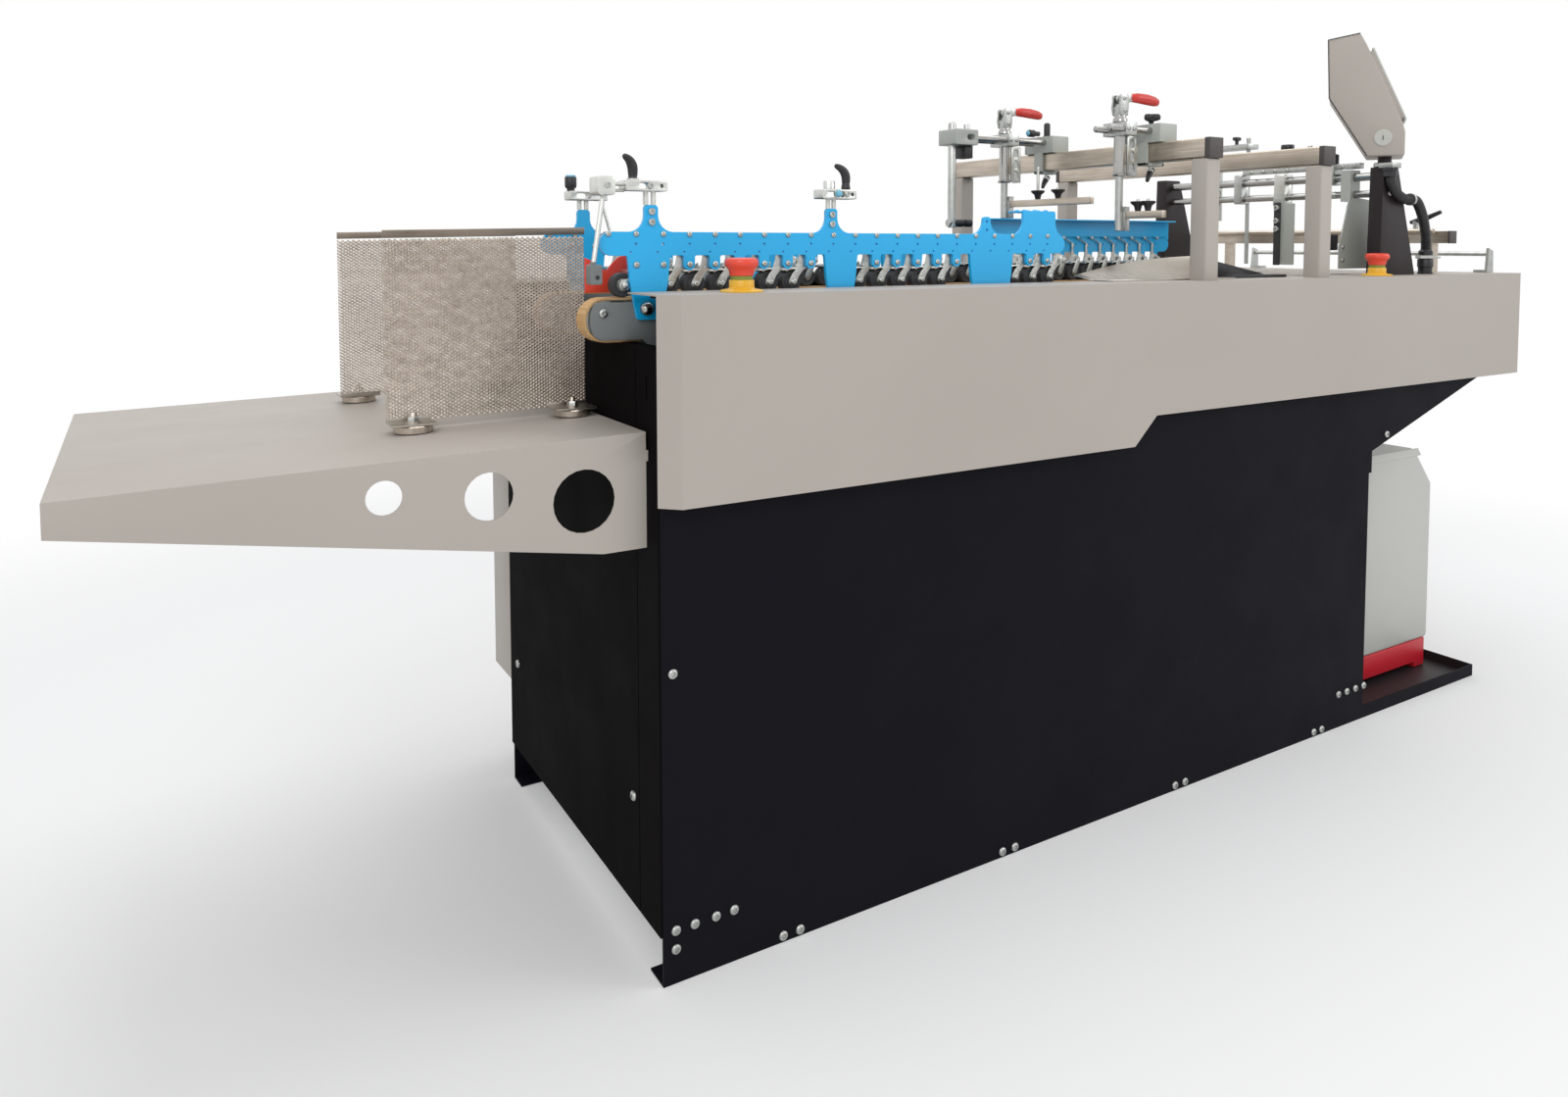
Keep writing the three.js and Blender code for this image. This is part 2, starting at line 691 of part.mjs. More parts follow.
// Upper carriers: a blue plate cut like a comb, whose tongues hold a row of sprung wheel arms over the belt
const bandBottomZ = 948;
const bandTopZ = 980;
const tongueZ = 928;
const tongueHalf = 8;
const lugBottomZ = 862;
const lugTaper = 12;
const wheelPitch = 39;
const firstBoltX = -23;
const lobeX = -35;
const ploughLead = 437;
const ploughX0 = driveX - ploughLead;
const ploughGap = 53;
const upperFrontX1 = ploughX0 - ploughGap;
const rearOverhang = 58;
const upperRearX1 = driveX + rearOverhang;
const wheelRadius = 16.5;
const wheelWidth = 18;
const wheelZ = beltTopZ + fit + wheelRadius;
const armReach = 27;
const pivotZ = wheelZ + armReach;
const armThick = 5;
const armHubRadius = 6;
const armWidth = 9;
const fingerX = 15;
const fingerWidth = 5;
const fingerRise = 2;
const hubPinRadius = 4;
const boltRadius = 5;
const boltHeight = 3;
const towerWidth = 20;
const towerTopZ = 1016;
const towerFillet = 22;
const towerPinRadius = 4;
const earWidth = 15;
const earTopZ = 1008;
const leftLugs = [[4, 65], [313, 371]];
const thirdLugLead = 208;
const thirdLugTail = 117;
const thirdLug = [upperFrontX1 - thirdLugLead, upperFrontX1 - thirdLugTail];
const fourthLugLead = 327;
const fourthLugTail = 277;
const fourthLug = [driveX - fourthLugLead, driveX - fourthLugTail];
const frontLugs = [...leftLugs, thirdLug];
const rearLugs = [...frontLugs, fourthLug];
const bracketLead = 94;
const bracketX0 = upperFrontX1 - bracketLead;
const bracketTopZ = 1019;
const bracketFlange = 40;
const angleLength = 515;
const angleX0 = upperRearX1 - angleLength;
const angleTopZ = 1013;
const angleFlange = 26;
const pivotX = (index) => firstBoltX + index * wheelPitch;

const inLug = (lugs, x) => lugs.some(([a, b]) => x > a - tongueHalf && x < b + tongueHalf);

// The plate's lower edge from left to right: windows between the tongues, and a tapered lug where one is fitted
function combEdge(x1, lugs) {
  const edge = [];
  lugs.forEach(([a, b]) => {
    edge.push([a, bandBottomZ], [a + half(half(lugTaper)), tongueZ - half(armReach)]);
    edge.push([a + lugTaper, lugBottomZ], [b - lugTaper, lugBottomZ], [b - half(half(lugTaper)), tongueZ - half(armReach)]);
    edge.push([b, bandBottomZ]);
  });
  for (let i = 1; pivotX(i) + tongueHalf < x1; i += 1) {
    const x = pivotX(i);
    if (inLug(lugs, x)) continue;
    edge.push([x - tongueHalf, bandBottomZ], [x - tongueHalf, tongueZ + half(tongueHalf)]);
    edge.push([x - half(tongueHalf), tongueZ], [x + half(tongueHalf), tongueZ]);
    edge.push([x + tongueHalf, tongueZ + half(tongueHalf)], [x + tongueHalf, bandBottomZ]);
  }
  return edge.sort((p, q) => p[0] - q[0]);
}

// A tower that rises from the top edge with a round fillet on each side
function towerSolid(x, width, topZ) {
  const h = half(width);
  const left = arcPoints(x - h - towerFillet, bandTopZ + towerFillet, towerFillet, -90, 0, 5);
  const right = arcPoints(x + h + towerFillet, bandTopZ + towerFillet, towerFillet, 180, 270, 5);
  const low = bandTopZ - weld;
  const points = [[x - h - towerFillet, low], ...left, [x - h, topZ], [x + h, topZ], ...right, [x + h + towerFillet, low]];
  return plateXZ(points, frontCarrierFaceY, frontCarrierFaceY + bluePlate);
}

// An arm: a leg that bends down to the wheel's hub, a finger up into the window, and an eye at the tongue's bolt
function springArm(index) {
  const px = pivotX(index);
  const hx = px - armReach;
  const y0 = frontCarrierFaceY + bluePlate - weld;
  const y1 = y0 + armThick;
  const h = armHubRadius;
  const fingerX1 = px - fingerX + fingerWidth;
  const fingerTopZ = bandBottomZ + fingerRise;
  const arm = plateXZ(
    [
      [hx - h, wheelZ - half(h)],
      [hx, wheelZ - h],
      [hx + h, wheelZ - half(h)],
      [hx + armWidth, wheelZ + armWidth],
      [px - armWidth, pivotZ - armWidth],
      [px + h, pivotZ - h],
      [px + h, pivotZ + h],
      [fingerX1, pivotZ + h],
      [fingerX1, fingerTopZ],
      [px - fingerX, fingerTopZ],
      [px - fingerX - half(half(fingerWidth)), pivotZ],
      [hx + half(h), wheelZ + armWidth],
      [hx - h, wheelZ + half(h)],
    ],
    y0,
    y1,
  );
  const wheel = rodY(wheelRadius, hx, wheelZ, y1 - weld, y1 + wheelWidth, wheelSides);
  return join(arm, wheel);
}

function upperCarrier(x1, lugs, towers, firstArm) {
  const endRound = half(bandTopZ - bandBottomZ);
  const midZ = half(bandTopZ + bandBottomZ);
  const left = arcPoints(lobeX + endRound, midZ, endRound, 90, 270, 6);
  const right = arcPoints(x1 - endRound, midZ, endRound, -90, 90, 6);
  const comb = combEdge(x1, lugs);
  const y0 = frontCarrierFaceY;
  const plate = plateXZ([...left, ...comb, ...right], y0, y0 + bluePlate);
  const arms = [];
  for (let i = firstArm; pivotX(i) < Math.min(x1, driveX + armReach); i += 1) {
    if (!inLug(lugs, pivotX(i))) arms.push(springArm(i));
  }
  return join(plate, ...towers.map((t) => towerSolid(...t)), ...arms);
}

// Lead arm: the first wheel's own lever, which swings on a boss behind the first lug
const leadWheelX = 2;
const leadPivotX = 34;
const leadPivotZ = wheelZ + 32;
const leadBossRadius = 5;
const leadArmY0 = frontCarrierFaceY + bluePlate + fit;
const leadArmThick = 5;
const leadEyeRadius = 9;

function leadBoss() {
  const y0 = frontCarrierFaceY + bluePlate - weld;
  return rodY(leadBossRadius, leadPivotX, leadPivotZ, y0, leadArmY0 + leadArmThick + weld, smallSides);
}

const towerXs = [27, 325];
const earLead = 173;
const earX = upperFrontX1 - earLead;
const bracketMidX = half(bracketX0 + upperFrontX1 - towerFillet);
const bracketWidth = upperFrontX1 - towerFillet - bracketX0;

function frontUpperCarrier() {
  const towers = [
    ...towerXs.map((x) => [x, towerWidth, towerTopZ]),
    [earX, earWidth, earTopZ],
    [bracketMidX, bracketWidth, bracketTopZ],
  ];
  const plate = upperCarrier(upperFrontX1, frontLugs, towers, 3);
  const flangeX1 = bracketX0 + bracketWidth;
  const y1 = frontCarrierFaceY + bracketFlange;
  const flange = block(bracketX0, flangeX1, frontCarrierFaceY, y1, bracketTopZ - half(bluePlate), bracketTopZ);
  return join(plate, flange, leadBoss());
}

// Clamp blocks: slotted aluminium blocks on two pins over each tower, for sensor and hold-down rods
const clampBlockGap = 14;
const clampBlockZ = towerTopZ + clampBlockGap;
const clampBlockHeight = 14;
const clampBlockLength = 60;
const clampBlockDepth = 26;
const clampSlotWidth = 9;
const clampSlotLength = 34;
const clampPinGap = 10;
const clampBlockOffset = 8;

function clampBlock(x) {
  const y = frontCarrierFaceY + half(bluePlate);
  const x0 = x - half(clampBlockLength);
  const x1 = x + half(clampBlockLength);
  const y0 = y - half(clampBlockDepth);
  const body = block(x0, x1, y0, y0 + clampBlockDepth, clampBlockZ, clampBlockZ + clampBlockHeight);
  const slot = block(
    x - half(clampSlotLength),
    x + half(clampSlotLength),
    y0 - overrun,
    y0 + half(half(clampBlockDepth)),
    clampBlockZ + half(clampBlockHeight - clampSlotWidth),
    clampBlockZ + half(clampBlockHeight + clampSlotWidth),
  );
  return cut(body, slot);
}

function towerPins(x) {
  const y = frontCarrierFaceY + half(bluePlate);
  return [-half(clampPinGap), half(clampPinGap)].map((dx) =>
    rodZ(half(bluePlate), x + dx, y, towerTopZ + fit, clampBlockZ + weld, smallSides),
  );
}

// Front clamp block: reaches left to a hinge block whose rod hangs a sensor beside the lead wheel
const sensorX = -43;
const sensorZ = 926;
const sensorY = 88;
const sensorHeight = 22;
const sensorWidth = 16;
const sensorRodRadius = 4;
const armRodRadius = 4;
const hingeBlockX = -31;
const hingeBlockSize = 22;

function frontClampBlock() {
  const x = towerXs[0] + clampBlockOffset;
  const y = frontCarrierFaceY + half(bluePlate);
  const midZ = clampBlockZ + half(clampBlockHeight);
  const link = rodX(armRodRadius, y, midZ, hingeBlockX, x - half(clampBlockLength) + weld, smallSides);
  const h = half(hingeBlockSize);
  const hinge = block(hingeBlockX - h, hingeBlockX + h, sensorY - h, y + h, midZ - h, midZ + h);
  const rod = strut(sensorRodRadius, [hingeBlockX, sensorY, midZ], [sensorX, sensorY, sensorZ], smallSides);
  const w = half(sensorWidth);
  const sensor = block(sensorX - w, sensorX + w, sensorY - w, sensorY + w, sensorZ - sensorHeight, sensorZ + w);
  return join(clampBlock(x), ...towerPins(towerXs[0]), link, hinge, rod, sensor);
}

// Clamping lever: a hub with an upswept handle
const leverHubRadius = 7;
const leverHubHeight = 18;
const leverReach = 34;
const leverRise = 14;
const leverGrip = 10;

function clampLever(x, y, z, side) {
  const z0 = z + fit;
  const hub = rodZ(leverHubRadius, x, y, z0, z0 + leverHubHeight, smallSides);
  const grip = plateXZ(
    [
      [x - side * leverHubRadius, z0 + leverHubHeight - leverGrip],
      [x - side * leverHubRadius, z0 + leverHubHeight + leverRise],
      [x + side * half(leverReach), z0 + leverHubHeight + leverRise + leverGrip],
      [x + side * leverReach, z0 + leverHubHeight + leverRise + leverGrip],
      [x + side * leverReach, z0 + leverHubHeight + leverRise],
      [x + side * half(leverReach), z0 + leverHubHeight + half(leverGrip)],
      [x + side * half(leverHubRadius), z0 + leverHubHeight - leverGrip],
    ],
    y - half(leverGrip),
    y + half(leverGrip),
  );
  return join(hub, grip);
}

const leverOffset = 22;
const clampY = frontCarrierFaceY + half(bluePlate);
const clampTopZ = clampBlockZ + clampBlockHeight;
place("front_upper_carrier", frontUpperCarrier(), bluePaint);
place("front_clamp_block", frontClampBlock(), aluminium);
const frontLeverX = towerXs[0] + clampBlockOffset - leverOffset;
place("front_clamp_lever", clampLever(frontLeverX, clampY, clampTopZ, -1), blackPlastic);

// Middle clamp block: grips a short stub of rod across the tower
const stubRadius = 4;
const stubOut = 12;

function midClampBlock() {
  const x = towerXs[1] + clampBlockOffset;
  const y0 = clampY - half(clampBlockDepth);
  const midZ = clampBlockZ + half(clampBlockHeight);
  const stub = rodY(stubRadius, x, midZ, y0 - stubOut, clampY, smallSides);
  const post = rodZ(stubRadius + weld, x - half(stubOut), clampY, clampTopZ - weld, clampTopZ + stubOut, smallSides);
  return join(clampBlock(x), ...towerPins(towerXs[1]), stub, post);
}
place("mid_clamp_block", midClampBlock(), aluminium);
const midLeverX = towerXs[1] + clampBlockOffset + leverOffset - half(leverHubRadius);
place("mid_clamp_lever", clampLever(midLeverX, clampY, clampTopZ, -1), blackPlastic);

function leadArm() {
  const y1 = leadArmY0 + leadArmThick;
  const w = half(armWidth);
  const arm = plateXZ(
    [
      ...arcPoints(leadWheelX, wheelZ, armHubRadius, 135, 315, 4),
      ...arcPoints(leadPivotX, leadPivotZ, leadEyeRadius, -45, 135, 4),
    ],
    leadArmY0,
    y1,
  );
  const pin = rodY(hubPinRadius, leadWheelX, wheelZ, y1 - weld, y1 + wheelWidth + w, smallSides);
  const eye = rodY(leadBossRadius + pinClear, leadPivotX, leadPivotZ, leadArmY0 - overrun, y1 + overrun, smallSides);
  return cut(join(arm, pin), eye);
}
place("lead_wheel_arm", leadArm(), zincSteel);

function leadWheel() {
  const y0 = leadArmY0 + leadArmThick + fit;
  const tyre = rodY(wheelRadius, leadWheelX, wheelZ, y0, y0 + wheelWidth, bigSides);
  const bore = rodY(hubPinRadius + pinClear, leadWheelX, wheelZ, y0 - overrun, y0 + wheelWidth + overrun, midSides);
  return cut(tyre, bore);
}
place("lead_wheel", leadWheel(), tyreRubber);

// Rear carrier: the same comb, longer, with one tower whose clamp block is bolted on
// Rear upper carrier: longer than the front one, and stiffened by an angle along its right half
function rearUpperCarrier() {
  const towers = [[towerXs[0], towerWidth, towerTopZ]];
  const y0 = frontCarrierFaceY;
  const web = block(angleX0, upperRearX1, y0, y0 + bluePlate, bandTopZ - bluePlate, angleTopZ);
  const flange = block(angleX0, upperRearX1, y0, y0 + angleFlange, angleTopZ - half(bluePlate), angleTopZ);
  const plate = upperCarrier(upperRearX1, rearLugs, towers, 1);
  const pins = towerPins(towerXs[0]).map((pin) => pin.translate([0, 0, -weld]));
  return mirrored(join(plate, web, flange, clampBlock(towerXs[0] + clampBlockOffset), ...pins), ySum);
}
place("rear_upper_carrier", rearUpperCarrier(), bluePaint);

const rearClampY = ySum - clampY;
const knobRadius = 9;
const knobHeight = 22;
const rearKnobX = towerXs[0] + clampBlockOffset - leverOffset;
const knobStem = rodZ(leverHubRadius, rearKnobX, rearClampY, clampTopZ + fit, clampTopZ + knobHeight, smallSides);
const knobCap = rodZ(knobRadius, rearKnobX, rearClampY, clampTopZ + half(half(knobHeight)), clampTopZ + knobHeight, midSides);
place("rear_clamp_knob", join(knobStem, knobCap), blackPlastic);

// Gantries: two square posts on the covers and a square beam across them
const tube = 35;
const tubeWall = 2;
const firstGantryLead = 231;
const secondGantryInset = 161;
const gantryXs = [driveX - firstGantryLead, bodyLength - secondGantryInset];
const gantryFrontY = 20;
const gantryRearY = 688;
const beamZ = 1114;
const beamOverhang = 2;

function squareTube(x, y, z0, z1) {
  const h = half(tube);
  const body = block(x - h, x + h, y - h, y + h, z0, z1);
  const i = h - tubeWall;
  return cut(body, block(x - i, x + i, y - i, y + i, z0 - overrun, z1 - tubeWall));
}

gantryXs.forEach((x, i) => {
  const name = `gantry_${i + 1}`;
  const z0 = workHeight + fit;
  place(`${name}_front_post`, squareTube(x, gantryFrontY, z0, beamZ), greyPaint);
  place(`${name}_rear_post`, squareTube(x, gantryRearY, z0, beamZ), greyPaint);
  const h = half(tube);
  const y0 = gantryFrontY - h - beamOverhang;
  const y1 = gantryRearY + h + beamOverhang;
  const shell = block(x - h, x + h, y0, y1, beamZ + fit, beamZ + fit + tube);
  const inner = block(x - h + tubeWall, x + h - tubeWall, y0 - overrun, y1 - tubeWall, beamZ + fit + tubeWall, beamZ + tube - tubeWall);
  place(`${name}_beam`, cut(shell, inner), stainless);
});

// Clamp carriages: a collar on the first beam with two rods, on which a toggle clamp's tube stands
const carriageLength = 82;
const carriageWide = 46;
const carriageHeight = 34;
const collarWall = 6;
const collarLength = 22;
const railRadius = 6;
const railSpread = 18;
const railZ = beamZ + tube + fit + half(carriageHeight) + 5;
const tubeOuter = 10.5;
const plungerRadius = 7;
const plungerClear = 0.7;
const tubeBottomZ = 1090;
const tubeHeadZ = 1170;
const headTopZ = 1212;
const cheekTopZ = 1238;
const headHalf = 11;
const cheekThick = 4;
const handlePivotZ = 1227;
const mountHalfX = 14;
const mountHalfY = 28;
const carriageScrewRadius = 5;
const carriageScrewLength = 16;
const starKnobRadius = 13;
const starKnobHeight = 14;

function clampCarriage({ y, clampX, railX0, upright }) {
  const x = gantryXs[0];
  const h = half(tube) + fit;
  const top = beamZ + fit + tube + fit;
  const bottom = beamZ;
  const w = half(carriageWide);
  const body = block(x - w, x + w, y - half(carriageLength), y + half(carriageLength), top, top + carriageHeight);
  const c = half(collarLength);
  const collar = block(x - h - collarWall, x + h + collarWall, y - c, y + c, bottom - collarWall, top + weld);
  const passage = block(x - h, x + h, y - half(carriageLength), y + half(carriageLength), bottom, top);
  const screw = rodZ(carriageScrewRadius, x, y, bottom - collarWall - carriageScrewLength, bottom - weld, smallSides);
  const knobZ = top + carriageHeight;
  const starStem = rodZ(carriageScrewRadius, x, y, knobZ - weld, knobZ + starKnobHeight, smallSides);
  const starHead = rodZ(carriageScrewRadius + weld, x, y, knobZ + half(starKnobHeight), knobZ + starKnobHeight + half(starKnobHeight), 6, starKnobRadius);
  const rails = [-railSpread, railSpread].map((dy) => rodX(railRadius, y + dy, railZ, railX0, x - w + weld, smallSides));
  const mountZ0 = railZ - railRadius - collarWall;
  const mount = block(clampX - mountHalfX, clampX + mountHalfX, y - mountHalfY, y + mountHalfY, mountZ0, railZ + railRadius + collarWall);
  const tubeSolid = rodZ(tubeOuter, clampX, y, tubeBottomZ, tubeHeadZ + weld, midSides);
  const head = block(clampX - headHalf, clampX + headHalf, y - headHalf, y + headHalf, tubeHeadZ, headTopZ);
  const cheeks = [-headHalf, headHalf - cheekThick].map((dy) =>
    block(clampX - headHalf, clampX + headHalf, y + dy, y + dy + cheekThick, headTopZ - weld, cheekTopZ),
  );
  const pinY0 = y - headHalf;
  const pin = rodY(hubPinRadius, clampX, handlePivotZ, pinY0, pinY0 + headHalf + headHalf, smallSides);
  const bore = rodZ(plungerRadius + plungerClear, clampX, y, tubeBottomZ - overrun, headTopZ - collarWall, midSides);
  const parts = [body, cut(collar, passage), screw, starStem, starHead, ...rails, mount, tubeSolid, head, ...cheeks];
  if (upright) parts.push(...upright);
  return join(cut(join(...parts), bore), pin);
}

// The rear carriage's rails end in a block that grips an upright rod
const endBlockLength = 50;
const endBlockHeight = 30;
const uprightRadius = 8;
const uprightTopZ = 1200;
const uprightBottomZ = 996;
const rearRailLength = 211;
const rearRailX0 = gantryXs[0] - rearRailLength;
const frontRailLength = 126;
const frontRailX0 = gantryXs[0] - frontRailLength;
const frontClampLead = 82;
const rearClampLead = 114;

function uprightRod(y) {
  const x0 = rearRailX0 - endBlockLength;
  const depth = railSpread + railRadius + half(collarWall);
  const z0 = railZ - half(endBlockHeight);
  const grip = block(x0, rearRailX0 + collarWall, y - depth, y + depth, z0, z0 + endBlockHeight);
  const rodAt = x0 + half(half(endBlockLength));
  return [grip, rodZ(uprightRadius, rodAt, y, uprightBottomZ, uprightTopZ, midSides)];
}

const carriages = {
  front: { y: 144, clampX: gantryXs[0] - frontClampLead, railX0: frontRailX0, barLength: 96, barZ: 1010 },
  rear: { y: 419, clampX: gantryXs[0] - rearClampLead, railX0: rearRailX0, barLength: 230, barZ: 1038 },
};
carriages.rear.upright = uprightRod(carriages.rear.y);

// Toggle handle: an eye between the cheeks and a grip that lies along +X when the clamp is shut
const handleThick = 8;
const handleEyeRadius = 9;
const handleNeck = 16;
const gripLength = 72;
const gripHalf = 7;

function toggleHandle({ y, clampX }) {
  const z = handlePivotZ;
  const x1 = clampX + headHalf + handleNeck;
  const thick = half(handleThick);
  const arm = plateXZ(
    [
      ...arcPoints(clampX, z, handleEyeRadius, 90, 270, 5),
      [x1, z - half(handleEyeRadius)],
      [x1, z + handleEyeRadius],
    ],
    y - thick + fit,
    y + thick - fit,
  );
  const grip = rodX(gripHalf, y, z + half(half(handleEyeRadius)), x1 - weld, x1 + gripLength, smallSides);
  const eye = rodY(hubPinRadius + pinClear, clampX, z, y - headHalf, y + headHalf, smallSides);
  return cut(join(arm, grip), eye);
}

// Plunger: slides in the clamp's tube and carries a slotted foot with the hold-down bar across the path
const plungerTopZ = 1166;
const footHeight = 44;
const footThick = 12;
const barHeight = 13;
const barThick = 12;
const wingKnobRadius = 12;
const wingKnobHeight = 16;
const wingShares = [0.38, 0.62];

function plunger({ y, clampX, barLength, barZ }) {
  const rod = rodZ(plungerRadius, clampX, y, barZ - half(footHeight), plungerTopZ, midSides);
  const x0 = clampX + half(plungerRadius);
  const foot = block(x0, x0 + footThick, y - footThick, y + footThick, barZ - half(footHeight), barZ + half(footHeight));
  const slotZ = barZ + barHeight + half(barHeight);
  const slot = block(x0 - overrun, x0 + footThick + overrun, y - half(half(footThick)), y + half(half(footThick)), slotZ - half(barHeight), slotZ);
  const y0 = y - barLength;
  const bar = block(x0, x0 + barThick, y0, y, barZ, barZ + barHeight);
  const wings = wingShares.map((share) => {
    const wy = y0 + share * barLength;
    const top = barZ + barHeight;
    const stem = rodZ(half(wingKnobRadius), x0 + half(barThick), wy, top - weld, top + wingKnobHeight, smallSides);
    const cap = rodZ(half(wingKnobRadius), x0 + half(barThick), wy, top + half(half(wingKnobHeight)), top + wingKnobHeight, 8, wingKnobRadius);
    return join(stem, cap);
  });
  return join(rod, cut(foot, slot), bar, ...wings);
}

Object.entries(carriages).forEach(([side, plan]) => {
  place(`${side}_clamp_carriage`, clampCarriage(plan), aluminium);
  place(`${side}_toggle_handle`, toggleHandle(plan), redPlastic);
  place(`${side}_plunger`, plunger(plan), stainless);
});

// Feeder brackets: two tapered black sheet brackets that carry the cross shafts; the front one holds the console
const crossShaftReach = 105;
const crossShaftX = bodyLength + crossShaftReach;
const bracketFootLeft = 29;
const bracketFootRight = 100;
const bracketTopLeft = 23;
const bracketTopRight = 29;
const bracketFootX0 = crossShaftX - bracketFootLeft;
const bracketFootX1 = crossShaftX + bracketFootRight;
const bracketTopX0 = crossShaftX - bracketTopLeft;
const bracketTopX1 = crossShaftX + bracketTopRight;
const standY0 = 36;
const standDepth = 30;
const standTopZ = 1122;
const standWall = 3;
const upperShaftZ = 1105;
const lowerShaftZ = 1069;
const upperShaftRadius = 8.5;
const lowerShaftRadius = 7.5;

function feederBracket() {
  const profile = (inset) => [
    [bracketFootX0 + inset, workHeight + fit - (inset ? overrun : 0)],
    [bracketFootX1 - inset, workHeight + fit - (inset ? overrun : 0)],
    [bracketTopX1 - inset, standTopZ - inset],
    [bracketTopX0 + inset, standTopZ - inset],
  ];
  const body = plateXZ(profile(0), standY0, standY0 + standDepth);
  const hollow = plateXZ(profile(standWall), standY0 + standWall, standY0 + standDepth - standWall);
  return cut(body, hollow);
}

// Shared place of the console's neck on the bracket
const neckX = half(bracketTopX0 + bracketTopX1);
const neckY = standY0 + half(standDepth);
const neckRadius = 13;
const neckHeight = 22;
const neckCollarRadius = 19;
const neckCollarHeight = 10;

// Conduit sizes and its path, as (x, z) points in the plane of the stand's middle, x from the cross shafts
const conduitRadius = 8.5;
const conduitRib = 1.4;
const conduitBore = 6;
const glandReach = 146;
const glandX = crossShaftX + glandReach;
const glandRadius = 13;
const glandHeight = 42;
const glandNutRadius = 17;
const glandNutHeight = 6;
const conduitRoute = [
  [46, 1101],
  [58, 1089],
  [71, 1076],
  [88, 1066],
  [106, 1068],
  [122, 1064],
  [135, 1049],
  [142, 1024],
  [145, 1000],
  [146, 972],
  [146, 946],
];
const conduitPoints = conduitRoute.map(([x, z]) => [crossShaftX + x, z]);
const sleeveWall = 3;
const sleeveLength = 20;

function consoleStand() {
  const collar = rodZ(neckCollarRadius, neckX, neckY, standTopZ - weld, standTopZ + neckCollarHeight, midSides);
  const neck = rodZ(neckRadius, neckX, neckY, standTopZ, standTopZ + neckHeight, midSides);
  const [first, second] = conduitPoints.slice(0, 2).map(([x, z]) => new THREE.Vector3(x, neckY, z));
  const back = first.clone().sub(second).normalize();
  const sleeveEnd = first.clone().addScaledVector(back, weld + weld).toArray();
  const sleeveStart = first.clone().addScaledVector(back, sleeveLength).toArray();
  const sleeve = strut(conduitRadius + sleeveWall, sleeveStart, sleeveEnd, midSides);
  return join(feederBracket(), collar, neck, sleeve);
}
place("console_stand", consoleStand(), blackPaint);
place("rear_feeder_bracket", mirrored(feederBracket(), bodyWidth), blackPaint);

const shaftY0 = standY0 + standDepth + fit;
const shaftY1 = bodyWidth - shaftY0;
place("upper_cross_shaft", rodY(upperShaftRadius, crossShaftX, upperShaftZ, shaftY0, shaftY1, midSides), stainless);
place("lower_cross_shaft", rodY(lowerShaftRadius, crossShaftX, lowerShaftZ, shaftY0, shaftY1, midSides), stainless);

// Feed gate: a clamp on both shafts with an upright plate that meters the blanks
const gateY = 283;
const gateDepth = 26;
const gateHalf = 17;
const gateBlockTopZ = 1120;
const gateBlockBottomZ = 1054;
const gateBottomZ = 915;
const gateThick = 8;
const gateWidth = 46;
const shaftFit = 0.6;

function shaftBores(y0, y1) {
  return [
    rodY(upperShaftRadius + shaftFit, crossShaftX, upperShaftZ, y0 - overrun, y1 + overrun, midSides),
    rodY(lowerShaftRadius + shaftFit, crossShaftX, lowerShaftZ, y0 - overrun, y1 + overrun, midSides),
  ];
}

function feedGate() {
  const y0 = gateY - half(gateDepth);
  const y1 = gateY + half(gateDepth);
  const grip = block(crossShaftX - gateHalf, crossShaftX + gateHalf, y0, y1, gateBlockBottomZ, gateBlockTopZ);
  const x0 = crossShaftX - gateHalf - gateThick;
  const blade = block(x0, x0 + gateThick + weld, gateY - half(gateWidth), gateY + half(gateWidth), gateBottomZ, gateBlockBottomZ + half(gateDepth));
  return cut(join(grip, blade), ...shaftBores(y0, y1));
}
place("feed_gate", feedGate(), aluminium);

// Side guide: a galvanised triangular plate that keeps the stack's front edge
const sideGuideY = 112;
const sideGuideThick = 3;
const sideGuideBottomZ = 912;
const sideGuideRight = 95;
const sideGuideLeft = 50;
const sideGuideX1 = crossShaftX + sideGuideRight;
const sideGuideX0 = crossShaftX - sideGuideLeft;
const sideGuideGrip = 22;

function sideGuide() {
  const y0 = sideGuideY;
  const y1 = y0 + sideGuideGrip;
  const grip = block(crossShaftX - gateHalf, crossShaftX + gateHalf, y0, y1, gateBlockBottomZ, gateBlockTopZ);
  const plate = plateXZ(
    [
      [sideGuideX0, sideGuideBottomZ],
      [sideGuideX1, sideGuideBottomZ],
      [sideGuideX1, gateBlockBottomZ],
      [crossShaftX - gateHalf, gateBlockBottomZ + half(sideGuideGrip)],
      [sideGuideX0, sideGuideBottomZ + gateWidth],
    ],
    y0,
    y0 + sideGuideThick,
  );
  return cut(join(grip, plate), ...shaftBores(y0, y1));
}
place("front_side_guide", sideGuide(), zincSteel);

// Infeed rail and end rod: cross pieces on uprights over the feed end of the covers
const railReach = 212;
const railX = crossShaftX + railReach;
const railTube = 26;
const railBeamZ = 966;
const railEndY = 20;
const railEndInset = 50;

